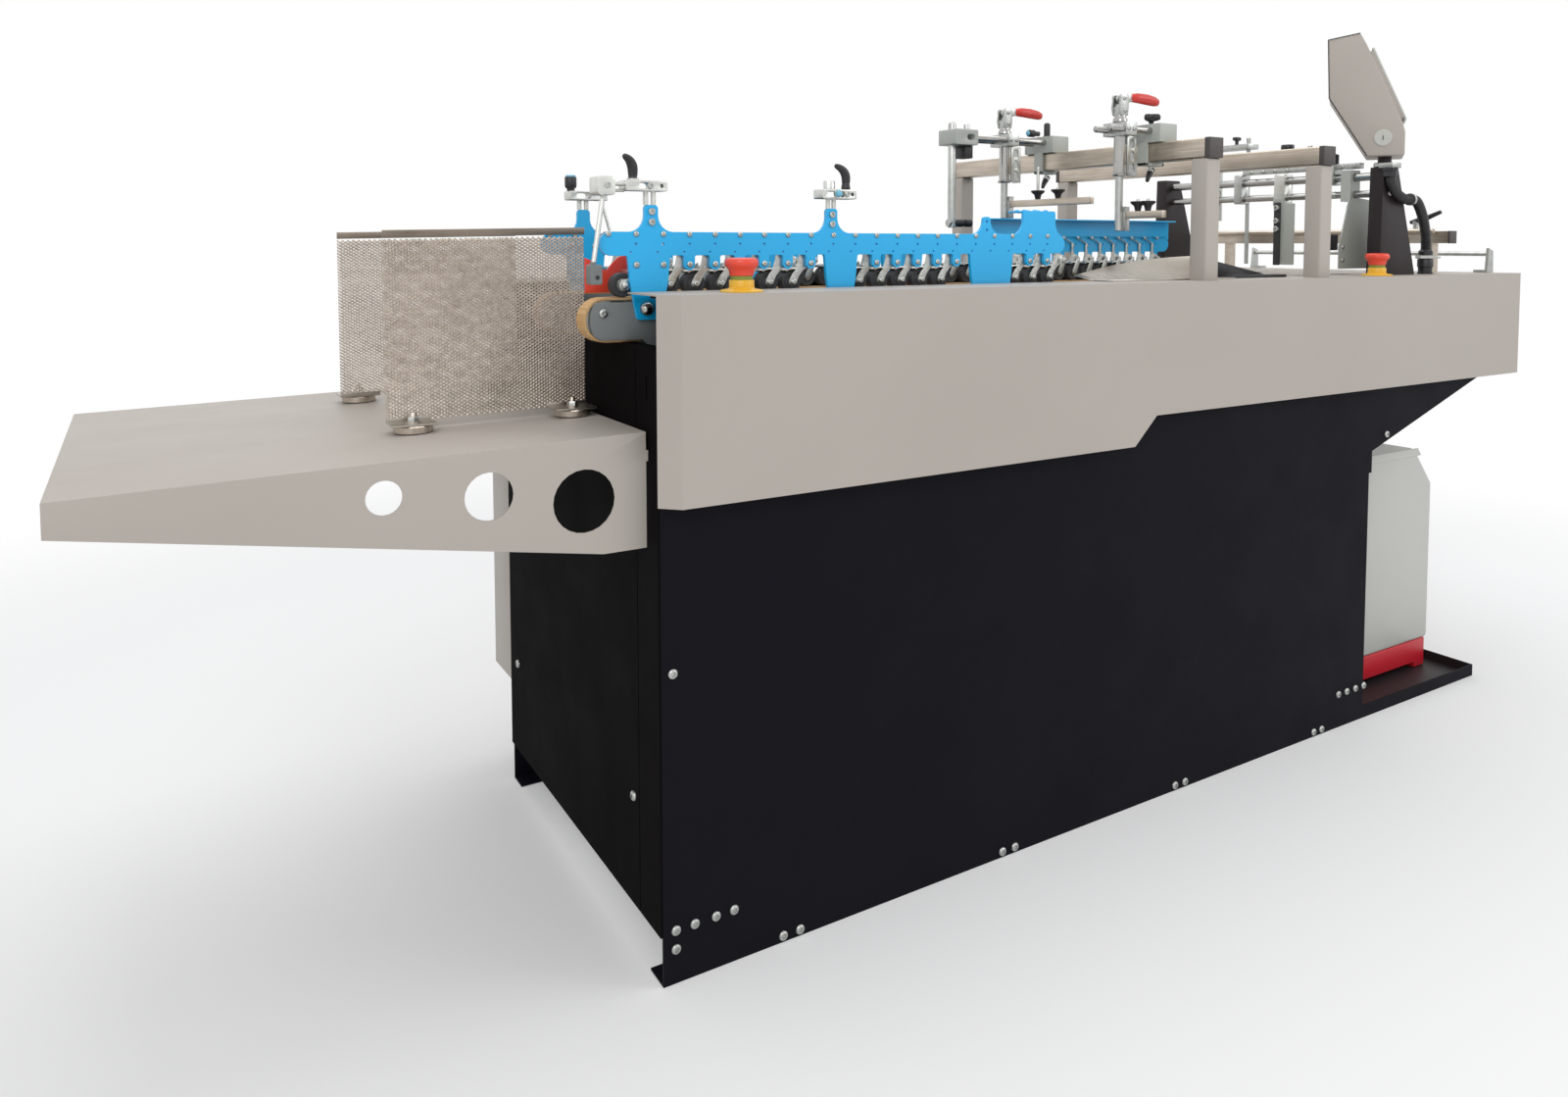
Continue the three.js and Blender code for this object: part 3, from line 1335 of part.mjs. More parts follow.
function infeedRail() {
  const h = half(railTube);
  const beam = block(railX - h, railX + h, railEndY, bodyWidth - railEndY, railBeamZ, railBeamZ + railTube);
  const legs = [railEndY + railEndInset, bodyWidth - railEndY - railEndInset].map((y) =>
    block(railX - h + half(tubeWall), railX + h - half(tubeWall), y - half(tubeWall) - h, y, workHeight + fit, railBeamZ + weld),
  );
  const rod = rodY(lowerShaftRadius - tubeWall, railX - railTube, railBeamZ + railTube, railEndY + railTube, bodyWidth - railTube, smallSides);
  const straps = [railEndY + railEndInset, bodyWidth - railEndY - railEndInset].map((y) =>
    block(railX - railTube, railX, y - h, y, railBeamZ + railTube - weld, railBeamZ + railTube + half(tubeWall)),
  );
  return join(beam, ...legs, rod, ...straps);
}
place("infeed_rail", infeedRail(), stainless);

const endRodInset = 34;
const endRodX = coverLength - endRodInset;
const endRodZ = 942;
const endRodRadius = 5;
const endBracketWide = 26;
const endBracketTop = 14;
const endBracketThick = 6;
const endBracketY = 24;
const endBracketFoot = 30;

function endStopRod() {
  const bracket = () => {
    const h = half(endBracketWide);
    const plate = plateXZ(
      [
        [endRodX - h, workHeight + fit],
        [endRodX + h, workHeight + fit],
        [endRodX + endBracketTop - half(half(h)), endRodZ + half(h)],
        [endRodX - half(endBracketTop), endRodZ + h],
      ],
      endBracketY,
      endBracketY + endBracketThick,
    );
    const foot = block(endRodX - h, endRodX + h, endBracketY, endBracketY + endBracketFoot, workHeight + fit, workHeight + fit + endBracketThick);
    return join(plate, foot);
  };
  const rod = rodY(endRodRadius, endRodX, endRodZ, endBracketY + weld, bodyWidth - endBracketY - weld, smallSides);
  return join(bracket(), mirrored(bracket(), bodyWidth), rod);
}
place("end_stop_rod", endStopRod(), zincSteel);

// Ploughs: a black wedge lifts the flap, then a twisted stainless sheet turns it over onto the carton
const liftLead = 107;
const liftX0 = driveX - liftLead;
const liftX1 = driveX + rearOverhang;
const liftHeight = 30;
const liftThick = 5;
const liftY = coverInner + 1;
const liftBaseZ = workHeight + 1;

function liftPlough() {
  const wedge = plateXZ(
    [
      [liftX0, liftBaseZ],
      [liftX1, liftBaseZ],
      [liftX0, liftBaseZ + liftHeight],
    ],
    liftY - liftThick,
    liftY,
  );
  const z0 = workHeight + fit;
  const foot = block(liftX0, liftX1, liftY - liftThick - coverInner / 3, liftY, z0, z0 + liftThick);
  return join(wedge, foot);
}
place("lift_plough", liftPlough(), blackPlastic);

const ploughTail = 117;
const ploughX1 = driveX - ploughTail;
const ploughWidth = 46;
const ploughSheet = 2;
const ploughSteps = 14;
const ploughShut = 8;
const ploughOpen = 62;
const ploughHinge = 6;

function foldPlough() {
  const hingeY = coverInner - ploughHinge;
  const hingeZ = workHeight + fit;
  const points = [];
  for (let i = 0; i <= ploughSteps; i += 1) {
    const share = i / ploughSteps;
    const x = ploughX0 + share * (ploughX1 - ploughX0);
    const angle = THREE.MathUtils.degToRad(ploughShut + (ploughOpen - ploughShut) * Math.sin(half(Math.PI) * share));
    const along = [Math.cos(angle), Math.sin(angle)];
    const across = [-Math.sin(angle), Math.cos(angle)];
    [[0, 0], [1, 0], [1, 1], [0, 1]].forEach(([a, b]) => {
      const y = hingeY + a * ploughWidth * along[0] + b * ploughSheet * across[0];
      const z = hingeZ + a * ploughWidth * along[1] + b * ploughSheet * across[1];
      points.push(x, y, z);
    });
  }
  const faces = [[0, 2, 1], [0, 3, 2]];
  for (let i = 0; i < ploughSteps; i += 1) {
    for (let k = 0; k < 4; k += 1) {
      const a = i * 4 + k;
      const b = i * 4 + ((k + 1) % 4);
      faces.push([a, b, b + 4], [a, b + 4, a + 4]);
    }
  }
  const last = ploughSteps * 4;
  faces.push([last, last + 1, last + 2], [last, last + 2, last + 3]);
  const mesh = new wasm.Mesh({
    numProp: 3,
    vertProperties: new Float32Array(points),
    triVerts: new Uint32Array(faces.flat()),
  });
  const sheet = new wasm.Manifold(mesh);
  const z0 = hingeZ;
  const rail = block(ploughX0, ploughX1, hingeY - ploughWidth, hingeY + ploughSheet, z0, z0 + ploughSheet);
  return join(sheet, rail);
}
place("fold_plough", foldPlough(), stainless);

// Operator console: a six-sided sheet case that swivels on the neck, its screen facing the feeding end
const caseWidth = 130;
const caseNear = 40;
const caseTurnDegrees = -58;
const caseBottomZ = standTopZ + neckHeight + fit;
const caseHeight = 251;
const caseProfileShares = [
  [0.53, 0],
  [1, 0],
  [1, 0.184],
  [0.973, 0.25],
  [0.501, 0.896],
  [0.41, 1],
  [0.0, 0.962],
  [0.03, 0.484],
];
const caseDepth = 146;
const caseNeckShare = 0.76;
const bezelThick = 8;
const bezelInsetShare = 0.07;

function consoleCase() {
  const at = ([s, h]) => [(s - caseNeckShare) * caseDepth, caseBottomZ + h * caseHeight];
  const body = plateXZ(caseProfileShares.map(at), -caseNear, caseWidth - caseNear);
  const low = new THREE.Vector2(...at(caseProfileShares[3]));
  const high = new THREE.Vector2(...at(caseProfileShares[4]));
  const way = high.clone().sub(low);
  const out = new THREE.Vector2(way.y, -way.x).normalize().multiplyScalar(bezelThick);
  const from = low.clone().addScaledVector(way, bezelInsetShare);
  const to = high.clone().addScaledVector(way, -bezelInsetShare);
  const inner = out.clone().multiplyScalar(-weld / bezelThick);
  const corners = [from.clone().add(inner), from.clone().add(out), to.clone().add(out), to.clone().add(inner)];
  const bezel = plateXZ(corners.map((p) => [p.x, p.y]), bezelThick - caseNear, caseWidth - caseNear - bezelThick);
  const flat = block(-caseDepth, caseDepth, -caseNear - overrun, caseWidth, 0, caseBottomZ);
  const turned = cut(join(body, bezel), flat).rotate([0, 0, caseTurnDegrees]);
  return turned.translate([neckX, neckY, 0]);
}
place("console_case", consoleCase(), greyPaint);

// Conduit: a ribbed hose from the stand's sleeve down to a gland on the front cover
const conduitRibs = 44;
const ribSides = 8;

function ribbedHose() {
  const y = neckY;
  const path = new THREE.CatmullRomCurve3(conduitPoints.map(([x, z]) => new THREE.Vector3(x, y, z)));
  const rings = [];
  const ringAt = (t, radius) => {
    const centre = path.getPointAt(t);
    const tangent = path.getTangentAt(t);
    const side = new THREE.Vector3(0, 1, 0);
    const up = new THREE.Vector3().crossVectors(tangent, side).normalize();
    for (let k = 0; k < ribSides; k += 1) {
      const angle = (2 * Math.PI * k) / ribSides;
      const p = centre.clone().addScaledVector(side, radius * Math.cos(angle)).addScaledVector(up, radius * Math.sin(angle));
      rings.push(p.x, p.y, p.z);
    }
  };
  const outerCount = 2 * conduitRibs + 1;
  for (let i = 0; i < outerCount; i += 1) {
    ringAt(i / (outerCount - 1), i % 2 ? conduitRadius : conduitRadius - conduitRib);
  }
  const boreCount = Math.ceil(conduitRibs / 5) + 1;
  for (let i = boreCount - 1; i >= 0; i -= 1) ringAt(i / (boreCount - 1), conduitBore);
  const total = outerCount + boreCount;
  const faces = [];
  for (let i = 0; i < total; i += 1) {
    for (let k = 0; k < ribSides; k += 1) {
      const a = i * ribSides + k;
      const b = i * ribSides + ((k + 1) % ribSides);
      const c = ((i + 1) % total) * ribSides + k;
      const d = ((i + 1) % total) * ribSides + ((k + 1) % ribSides);
      faces.push([a, b, d], [a, d, c]);
    }
  }
  const build = (list) =>
    new wasm.Manifold(
      new wasm.Mesh({ numProp: 3, vertProperties: new Float32Array(rings), triVerts: new Uint32Array(list.flat()) }),
    );
  const made = build(faces);
  return made.volume() > 0 ? made : build(faces.map(([a, b, c]) => [a, c, b]));
}

function conduit() {
  const z1 = workHeight + fit + glandHeight;
  const gland = rodZ(glandRadius, glandX, neckY, workHeight + fit, z1, midSides);
  const nut = rodZ(glandNutRadius, glandX, neckY, z1 - glandNutHeight, z1 + glandNutHeight, 6);
  return join(ribbedHose(), gland, nut);
}
place("conduit", conduit(), conduitPlastic);

// The origin: bottom centre of the whole box
const boxX = coverLength - trayReach;
const boxY = bodyWidth + rearCoverOut - frontCoverOut;
machine.position.set(-half(boxX), -half(boxY), 0);
machine.updateMatrixWorld(true);

export default machine;
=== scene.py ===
# %% [markdown]
# # A folder gluer, piece by piece
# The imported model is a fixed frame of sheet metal, shafts and plates. This script loads it, gives every
# node its real finish, and adds what the frame is too coarse for: bolts, wheels, springs, levers and
# expanded metal.

# %% Load the frame
import json
import math
from contextlib import contextmanager

import bmesh
import bpy
from mathutils import Matrix, Vector

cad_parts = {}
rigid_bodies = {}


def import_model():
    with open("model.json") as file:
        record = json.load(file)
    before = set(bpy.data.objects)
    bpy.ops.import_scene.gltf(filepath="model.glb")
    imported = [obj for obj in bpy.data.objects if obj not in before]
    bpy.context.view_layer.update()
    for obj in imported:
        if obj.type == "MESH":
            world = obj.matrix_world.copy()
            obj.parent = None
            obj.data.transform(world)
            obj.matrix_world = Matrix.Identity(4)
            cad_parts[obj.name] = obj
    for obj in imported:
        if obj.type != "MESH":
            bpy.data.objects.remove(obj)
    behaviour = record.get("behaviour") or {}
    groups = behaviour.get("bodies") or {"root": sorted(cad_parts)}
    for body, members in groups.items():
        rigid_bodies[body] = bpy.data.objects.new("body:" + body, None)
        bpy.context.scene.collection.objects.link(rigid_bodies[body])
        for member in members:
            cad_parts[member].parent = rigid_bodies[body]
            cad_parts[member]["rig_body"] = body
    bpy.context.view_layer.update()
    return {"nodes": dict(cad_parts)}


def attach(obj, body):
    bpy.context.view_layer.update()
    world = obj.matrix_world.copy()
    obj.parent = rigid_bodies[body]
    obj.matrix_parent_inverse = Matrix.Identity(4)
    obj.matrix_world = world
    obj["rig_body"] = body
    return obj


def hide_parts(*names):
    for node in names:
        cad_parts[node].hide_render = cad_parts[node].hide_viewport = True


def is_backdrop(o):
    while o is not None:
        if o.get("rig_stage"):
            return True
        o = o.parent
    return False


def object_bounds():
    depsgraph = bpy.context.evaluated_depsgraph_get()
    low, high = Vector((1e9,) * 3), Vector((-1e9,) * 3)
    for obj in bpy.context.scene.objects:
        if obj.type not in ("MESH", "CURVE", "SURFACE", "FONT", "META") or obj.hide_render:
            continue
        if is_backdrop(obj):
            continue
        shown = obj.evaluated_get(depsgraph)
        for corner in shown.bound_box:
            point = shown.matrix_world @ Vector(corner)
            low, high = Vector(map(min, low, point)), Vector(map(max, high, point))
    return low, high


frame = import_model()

# %% [markdown]
# Drawings of such a machine start at its left end panel and its front side plate, in millimetres. One
# function turns those numbers into the frame's metres, so every size below can be read as it would be on a
# drawing.

# %% Drawing numbers
SHIFT = Vector((713.5, 380.5, 0.0))
MM = 0.001
WORK_TOP = 900.0


def at(x, y, z):
    return (Vector((x, y, z)) - SHIFT) * MM


print("the drawing's zero point lies at", tuple(at(0, 0, 0)))

# %% [markdown]
# ## Camera
# The photograph was taken with a wide lens, close to the left front corner. The lens, the place and the
# shift were solved from the body's corners, so the lens is set here as a number and not by eye.

# %% Camera
YAW = math.radians(31.74)
PITCH = math.radians(3.22)
look = Vector((math.sin(YAW) * math.cos(PITCH), math.cos(YAW) * math.cos(PITCH), -math.sin(PITCH)))
camera_data = bpy.data.cameras.new("camera")
camera_data.lens = 25.07
camera_data.sensor_width = 36.0
camera_data.shift_x = -0.01998
camera_data.shift_y = -0.15449
camera_data.clip_end = 60.0
camera = bpy.data.objects.new("camera", camera_data)
camera.location = at(-547.3, -1263.9, 962.7)
camera.rotation_mode = "QUATERNION"
camera.rotation_quaternion = look.to_track_quat("-Z", "Y")
bpy.context.collection.objects.link(camera)
bpy.context.scene.camera = camera
bpy.context.scene.view_settings.view_transform = "Standard"
print("lens", camera_data.lens, "mm at", tuple(camera.location))

# %% [markdown]
# ## Node helpers
# A finish is a small tree of nodes. Colours are written as the hex value the eye sees and turned to linear
# light by one function, and one function adds any node with its settings and links.

# %% Colours and nodes


def linear(hex_colour):
    channels = [int(hex_colour[i : i + 2], 16) / 255 for i in (1, 3, 5)]
    return [c / 12.92 if c <= 0.04045 else ((c + 0.055) / 1.055) ** 2.4 for c in channels] + [1.0]


def add(tree, kind, settings=(), links=()):
    node = tree.nodes.new(kind)
    for key, value in dict(settings).items():
        if isinstance(key, str) and hasattr(node, key):
            setattr(node, key, value)
        else:
            node.inputs[key].default_value = value
    for key, socket in dict(links).items():
        tree.links.new(socket, node.inputs[key])
    return node


def blank_material(name):
    material = bpy.data.materials.new(name)
    material.use_nodes = True
    material.node_tree.nodes.clear()
    print("finish:", name)
    return material, material.node_tree


def shine(tree, settings, links=()):
    shader = add(tree, "ShaderNodeBsdfPrincipled", settings, links)
    add(tree, "ShaderNodeOutputMaterial", (), {"Surface": shader.outputs[0]})


print("middle grey in linear light:", round(linear("#808080")[0], 3))

# %% [markdown]
# Most finishes end in the same way: two near tones blended by a pattern, a gloss that varies from place to
# place, and a relief too fine to model. A noise has two waves in each of its units, which gives its scale
# from a size.

# %% The end that finishes share


def waves(size_mm):
    return 1000 / size_mm / 2


def finish(tree, tones, blend, patches, gloss, relief, depth, settings=()):
    """Tones are two hex colours, gloss the least and greatest roughness, depth strength and distance."""
    colours = add(
        tree,
        "ShaderNodeMix",
        {"data_type": "RGBA", 6: linear(tones[0]), 7: linear(tones[1])},
        {0: blend},
    )
    sheen = add(
        tree,
        "ShaderNodeMapRange",
        {"From Min": 0.3, "From Max": 0.7, "To Min": gloss[0], "To Max": gloss[1]},
        {"Value": patches},
    )
    bump = add(tree, "ShaderNodeBump", {"Strength": depth[0], "Distance": depth[1]}, {"Height": relief})
    shine(
        tree,
        settings,
        {"Base Color": colours.outputs[2], "Roughness": sheen.outputs[0], "Normal": bump.outputs[0]},
    )


print("a 2 mm grain has scale", waves(2))

# %% [markdown]
# ## Powder coat and wet paint
# Sheet covers are sprayed with dry powder and baked, which leaves a faint orange peel some 2 mm across and
# a soft satin sheen. The colour drifts a little over a large panel, and handling leaves cloudy patches in
# the gloss. The wheel carriers are laser-cut plates in a clear blue wet paint. It is smoother, so a coat on
# top mirrors the lamps and only a wide, shallow waviness shows.

# %% Powder coat and wet paint


def powder_coat(name, colour, deeper, roughness, peel_mm=2.2, peel=0.06, cloud=0.06, level=0.5, coat=()):
    material, tree = blank_material(name)
    place = add(tree, "ShaderNodeTexCoord").outputs["Object"]
    drift = add(tree, "ShaderNodeTexNoise", {"Scale": 2.6, "Detail": 3.0}, {"Vector": place})
    smears = add(
        tree,
        "ShaderNodeTexNoise",
        {"Scale": 9.0, "Detail": 5.0, "Roughness": 0.6},
        {"Vector": place},
    )
    grain = add(tree, "ShaderNodeTexNoise", {"Scale": waves(peel_mm), "Detail": 1.0}, {"Vector": place})
    gloss = (roughness - cloud, roughness + cloud)
    settings = {"Specular IOR Level": level, **dict(coat)}
    patches, relief = smears.outputs[0], grain.outputs[0]
    finish(tree, (colour, deeper), drift.outputs[0], patches, gloss, relief, (peel, 0.0004), settings)
    return material


CLEAR_COAT = {"Coat Weight": 0.3, "Coat Roughness": 0.12}
grey_coat = powder_coat("grey powder coat", "#b4ada5", "#aca49c", 0.5)
black_coat = powder_coat("black powder coat", "#0c0b15", "#0a0911", 0.6, peel=0.1, level=0.1)
stand_coat = powder_coat("brown black coat", "#2a2325", "#221c1e", 0.5, peel=0.1, level=0.3)
panel_coat = powder_coat("matt black powder coat", "#100d0d", "#0b0a0b", 0.75, peel=0.1, level=0.03)
carrier_coat = powder_coat("dark grey coat", "#7b8080", "#6d7272", 0.42)
pump_coat = powder_coat("light grey enamel", "#c3c3bd", "#b8b8b2", 0.38)
block_enamel = powder_coat("pale grey green enamel", "#b6bab3", "#acb0a9", 0.42)
pump_red_coat = powder_coat("red enamel", "#d41a2e", "#c01426", 0.4)
blue_paint = powder_coat("blue enamel", "#16b8f6", "#12b0ee", 0.33, 6.0, 0.04, 0.05, coat=CLEAR_COAT)

# %% [markdown]
# ## Brushed and plated metal
# Stainless tube and sheet is brushed along its length: fine scratches some 0.3 mm apart stretch the
# highlight across the grain. They are too fine to show here, so they are drawn about 1.5 mm apart. Machined
# aluminium has the same idea with a short grain, and zinc plate has almost none but a cloudy tint.

# %% Brushed metal
ALONG_X, ALONG_Y, NO_WAY = (0.04, 1.0, 1.0), (1.0, 0.04, 1.0), (1.0, 1.0, 1.0)


def brushed(name, colour, deeper, roughness, grain_mm, stretch, spread=0.08, depth=0.08):
    material, tree = blank_material(name)
    place = add(tree, "ShaderNodeTexCoord").outputs["Object"]
    along = add(tree, "ShaderNodeMapping", {"Scale": stretch}, {"Vector": place}).outputs[0]
    grain = add(tree, "ShaderNodeTexNoise", {"Scale": waves(grain_mm), "Detail": 2.0}, {"Vector": along})
    grain = grain.outputs[0]
    cloud = add(tree, "ShaderNodeTexNoise", {"Scale": 14.0, "Detail": 4.0}, {"Vector": place})
    blend = add(tree, "ShaderNodeMath", {"operation": "MULTIPLY"}, {0: grain, 1: cloud.outputs[0]})
    tone = add(tree, "ShaderNodeMapRange", {"From Min": 0.12, "From Max": 0.42}, {"Value": blend.outputs[0]})
    gloss = (roughness - spread, roughness + spread)
    finish(tree, (colour, deeper), tone.outputs[0], grain, gloss, grain, (depth, 0.0003), {"Metallic": 1.0})
    return material


stainless_y = brushed("brushed stainless tube", "#cdc2b4", "#b0a496", 0.36, 1.5, ALONG_Y, depth=0.04)
stainless_x = brushed("brushed stainless sheet", "#b9b3aa", "#aea89f", 0.3, 1.5, ALONG_X, 0.03, 0.0)
expanded_steel = brushed("galvanised expanded metal", "#c6bbb0", "#a99e93", 0.46, 2.5, NO_WAY, depth=0.02)
# The band's tones are darker than the sheet's: a painted dark reflection.
band_steel_painted_dark = brushed("dull stainless band", "#93877b", "#756a60", 0.4, 1.5, ALONG_X, depth=0.03)
magnet_steel = brushed("turned steel cup", "#cfc4b8", "#a99e92", 0.3, 1.5, (1.0, 1.0, 0.1), depth=0.02)
aluminium = brushed("machined aluminium", "#dcddd8", "#c6c7c2", 0.36, 1.2, (0.3, 1.0, 1.0), 0.05, 0.02)
zinc = brushed("bright zinc plate", "#bfc1be", "#abadaa", 0.34, 6.0, NO_WAY, 0.04, 0.0)
chrome = brushed("hard chromed bar", "#b3b2af", "#a5a4a1", 0.2, 3.0, NO_WAY, 0.04, 0.0)
cast_zinc = brushed("die-cast zinc arm", "#c9cac6", "#9fa19c", 0.4, 2.0, NO_WAY, depth=0.16)

# %% [markdown]
# ## Moulded plastic, rubber and glass
# Knobs and levers are glass-filled nylon with a fine matt texture, stop buttons are smooth glossy ABS, and
# tyres and feet are rubber, which scatters light softly and collects pale dust. The screen's glass is
# smoother still.

# %% Plastic, rubber and glass


def moulded(name, colour, deeper, roughness, grain_mm=1.0, depth=0.12):
    material, tree = blank_material(name)
    place = add(tree, "ShaderNodeTexCoord").outputs["Object"]
    dust = add(tree, "ShaderNodeTexNoise", {"Scale": 30.0, "Detail": 4.0}, {"Vector": place}).outputs[0]
    grain = add(tree, "ShaderNodeTexNoise", {"Scale": waves(grain_mm), "Detail": 1.0}, {"Vector": place})
    gloss = (roughness - 0.05, roughness + 0.07)
    finish(tree, (colour, deeper), dust, dust, gloss, grain.outputs[0], (depth, 0.0003))
    return material


black_nylon = moulded("black nylon", "#26262a", "#1b1b1f", 0.42)
cap_nylon = moulded("brown black cap", "#4a4443", "#3f3938", 0.5)
red_abs = moulded("red ABS", "#f0503c", "#e0432f", 0.3, depth=0.03)
red_vinyl = moulded("red dipped vinyl", "#d93a30", "#c22f27", 0.34, depth=0.06)
yellow_abs = moulded("yellow ABS", "#f6c23a", "#e8b02a", 0.35, depth=0.03)
green_abs = moulded("green ABS", "#8e9a3c", "#7c8a30", 0.4, depth=0.03)
wheel_rubber = moulded("black rubber tyre", "#2b2c30", "#3a3a3c", 0.66, 1.6, 0.2)
wheel_nylon = moulded("grey nylon wheel centre", "#55585b", "#45484b", 0.5)
hose_nylon = moulded("ribbed nylon hose", "#1d1d20", "#29292c", 0.5)
blue_cap = moulded("pale blue plastic cap", "#7fc4dd", "#6db3cf", 0.4)
screen_glass = moulded("dark screen glass", "#10141a", "#0c0f14", 0.12, depth=0.0)

# %% [markdown]
# ## Woven belt
# The carrying belts are tan polyester with a plain weave. The threads cross about every 1.2 mm, drawn at 2
# mm here, and two crossed bands of waves give both the tone and the bump of the weave.

# %% Woven belt
belt_cloth, tree = blank_material("tan woven belt")
place = add(tree, "ShaderNodeTexCoord").outputs["Object"]
warp = add(tree, "ShaderNodeTexWave", {"bands_direction": "X", "Scale": 80.0}, {"Vector": place})
weft = add(tree, "ShaderNodeTexWave", {"bands_direction": "Y", "Scale": 80.0}, {"Vector": place})
weave = add(tree, "ShaderNodeMath", {"operation": "MULTIPLY"}, {0: warp.outputs[1], 1: weft.outputs[1]})
tan = add(
    tree,
    "ShaderNodeMix",
    {"data_type": "RGBA", 6: linear("#c79f6c"), 7: linear("#dcb98a")},
    {0: weave.outputs[0]},
)
threads = add(tree, "ShaderNodeBump", {"Strength": 0.3, "Distance": 0.0005}, {"Height": weave.outputs[0]})
shine(tree, {"Roughness": 0.78}, {"Base Color": tan.outputs[2], "Normal": threads.outputs[0]})

# %% [markdown]
# ## Shape helpers
# Small parts are turned, bent or bevelled. Turned parts come from a profile of radius and height, bent
# parts from a circle that follows points, and blocks are boxes whose edges are broken. Each helper adds to
# one open mesh, and is tried once where it is written.

# %% Blocks


def blocky(bm, low, high, edge=0.6):
    made = bmesh.ops.create_cube(bm, size=1.0)["verts"]
    size = (Vector(high) - Vector(low)) * MM
    centre = (at(*low) + at(*high)) / 2
    bmesh.ops.transform(bm, matrix=Matrix.Translation(centre) @ Matrix.Diagonal((*size, 1.0)), verts=made)
    if edge:
        rims = list({e for v in made for e in v.link_edges})
        bmesh.ops.bevel(bm, geom=rims, offset=edge * MM, segments=2, affect="EDGES", profile=0.6)


def trial(shape, *sizes):
    """Tries a helper on an empty mesh and says what it makes."""
    bm = bmesh.new()
    shape(bm, *sizes)
    print(shape.__name__, "makes", len(bm.verts), "points and", len(bm.faces), "faces")
    bm.free()


trial(blocky, (0, 0, 0), (10, 10, 10))

# %% Turned shapes


def skin(bm, rings, closed=False):
    """Faces between rings of points. A ring of one point is a tip."""
    if closed:
        rings = rings + [rings[0]]
    for low, high in zip(rings, rings[1:]):
        count = max(len(low), len(high))
        for i in range(count):
            j = (i + 1) % count
            if len(low) == 1:
                bm.faces.new((low[0], high[j], high[i]))
            elif len(high) == 1:
                bm.faces.new((low[i], low[j], high[0]))
            else:
                bm.faces.new((low[i], low[j], high[j], high[i]))
    if len(rings[0]) > 1 and not closed:
        bm.faces.new(reversed(rings[0]))
    if len(rings[-1]) > 1 and not closed:
        bm.faces.new(rings[-1])


def turned(bm, profile, foot, axis, steps=24, closed=False, lobes=0):
    turn = Vector(axis).to_track_quat("Z", "Y").to_matrix()
    rings = []
    for radius, height in profile:
        ring = []
        for i in range(steps if radius else 1):
            angle = 2 * math.pi * i / steps
            reach = radius * (0.7 + 0.3 * math.cos(lobes * angle)) if lobes else radius
            spot = Vector((reach * math.cos(angle), reach * math.sin(angle), height)) * MM
            ring.append(bm.verts.new(at(*foot) + turn @ spot))
        rings.append(ring)
    skin(bm, rings, closed)


trial(turned, [(5, 0), (5, 10), (0, 12)], (0, 0, 0), (0, 0, 1))

# %% Bent shapes


def bent(bm, points, radii, steps=12, flat=1.0):
    spots = [at(*p) for p in points]
    radii = [radii] * len(spots) if isinstance(radii, (int, float)) else radii
    side = None
    rings = []
    for i, spot in enumerate(spots):
        way = (spots[min(i + 1, len(spots) - 1)] - spots[max(i - 1, 0)]).normalized()
        if side is None:
            side = way.orthogonal() if abs(way.y) > 0.9 else Vector((0, 1, 0))
        side = (side - way * side.dot(way)).normalized()
        up = way.cross(side)
        ring = []
        for k in range(steps):
            angle = 2 * math.pi * k / steps
            reach = side * math.cos(angle) * flat + up * math.sin(angle)
            ring.append(bm.verts.new(spot + reach * radii[i] * MM))
        rings.append(ring)
    skin(bm, rings)


trial(bent, [(0, 0, 0), (10, 0, 0), (20, 0, 5)], 2.0)

# %% [markdown]
# A laser-cut plate is a flat curve with holes, filled and given its thickness and a softly broken edge.

# %% Plates
HOLE_STEPS = 16


def arc(x, z, radius, start, end, steps=8):
    turns = [math.radians(start + (end - start) * i / steps) for i in range(steps + 1)]
    return [(x + radius * math.cos(t), z + radius * math.sin(t)) for t in turns]


def rounded(x0, x1, z0, z1, r):
    corners = [(x1 - r, z0 + r, -90), (x1 - r, z1 - r, 0), (x0 + r, z1 - r, 90), (x0 + r, z0 + r, 180)]
    return [point for x, z, start in corners for point in arc(x, z, r, start, start + 90, 3)]


def slab(bm, outline, y0, y1, holes=(), edge=0.4, windows=()):
    """A plate in the drawing's XZ plane, between two depths."""
    curve = bpy.data.curves.new("slab", "CURVE")
    curve.dimensions = "2D"
    curve.fill_mode = "BOTH"
    curve.extrude = (y1 - y0) * MM / 2 - edge * MM
    curve.bevel_depth = edge * MM
    curve.bevel_resolution = 1
    curve.offset = -edge * MM
    rims = [arc(x, z, r, 0, 360, HOLE_STEPS)[:-1] for x, z, r in holes]
    for loop in [outline, *windows, *rims]:
        spline = curve.splines.new("POLY")
        spline.points.add(len(loop) - 1)
        spline.use_cyclic_u = True
        for point, (x, z) in zip(spline.points, loop):
            point.co = (x * MM, z * MM, 0, 1)
    holder = bpy.data.objects.new("slab", curve)
    mesh = bpy.data.meshes.new_from_object(holder)
    middle = Vector((-SHIFT.x, (y0 + y1) / 2 - SHIFT.y, 0)) * MM
    mesh.transform(Matrix.Translation(middle) @ Matrix.Rotation(math.pi / 2, 4, "X"))
    bm.from_mesh(mesh)
    bpy.data.objects.remove(holder)
    bpy.data.curves.remove(curve)
    bpy.data.meshes.remove(mesh)


print("a 10 mm square with 2 mm corners has", len(rounded(0, 10, 0, 10, 2)), "points")

# %% [markdown]
# A finished piece has its place in its mesh, one finish, and a body of the frame to ride on. Where it
# stands for a coarse node, that node is hidden but keeps its collision. A piece is modelled inside a with
# block, which closes its mesh when it ends.

# %% Finished pieces


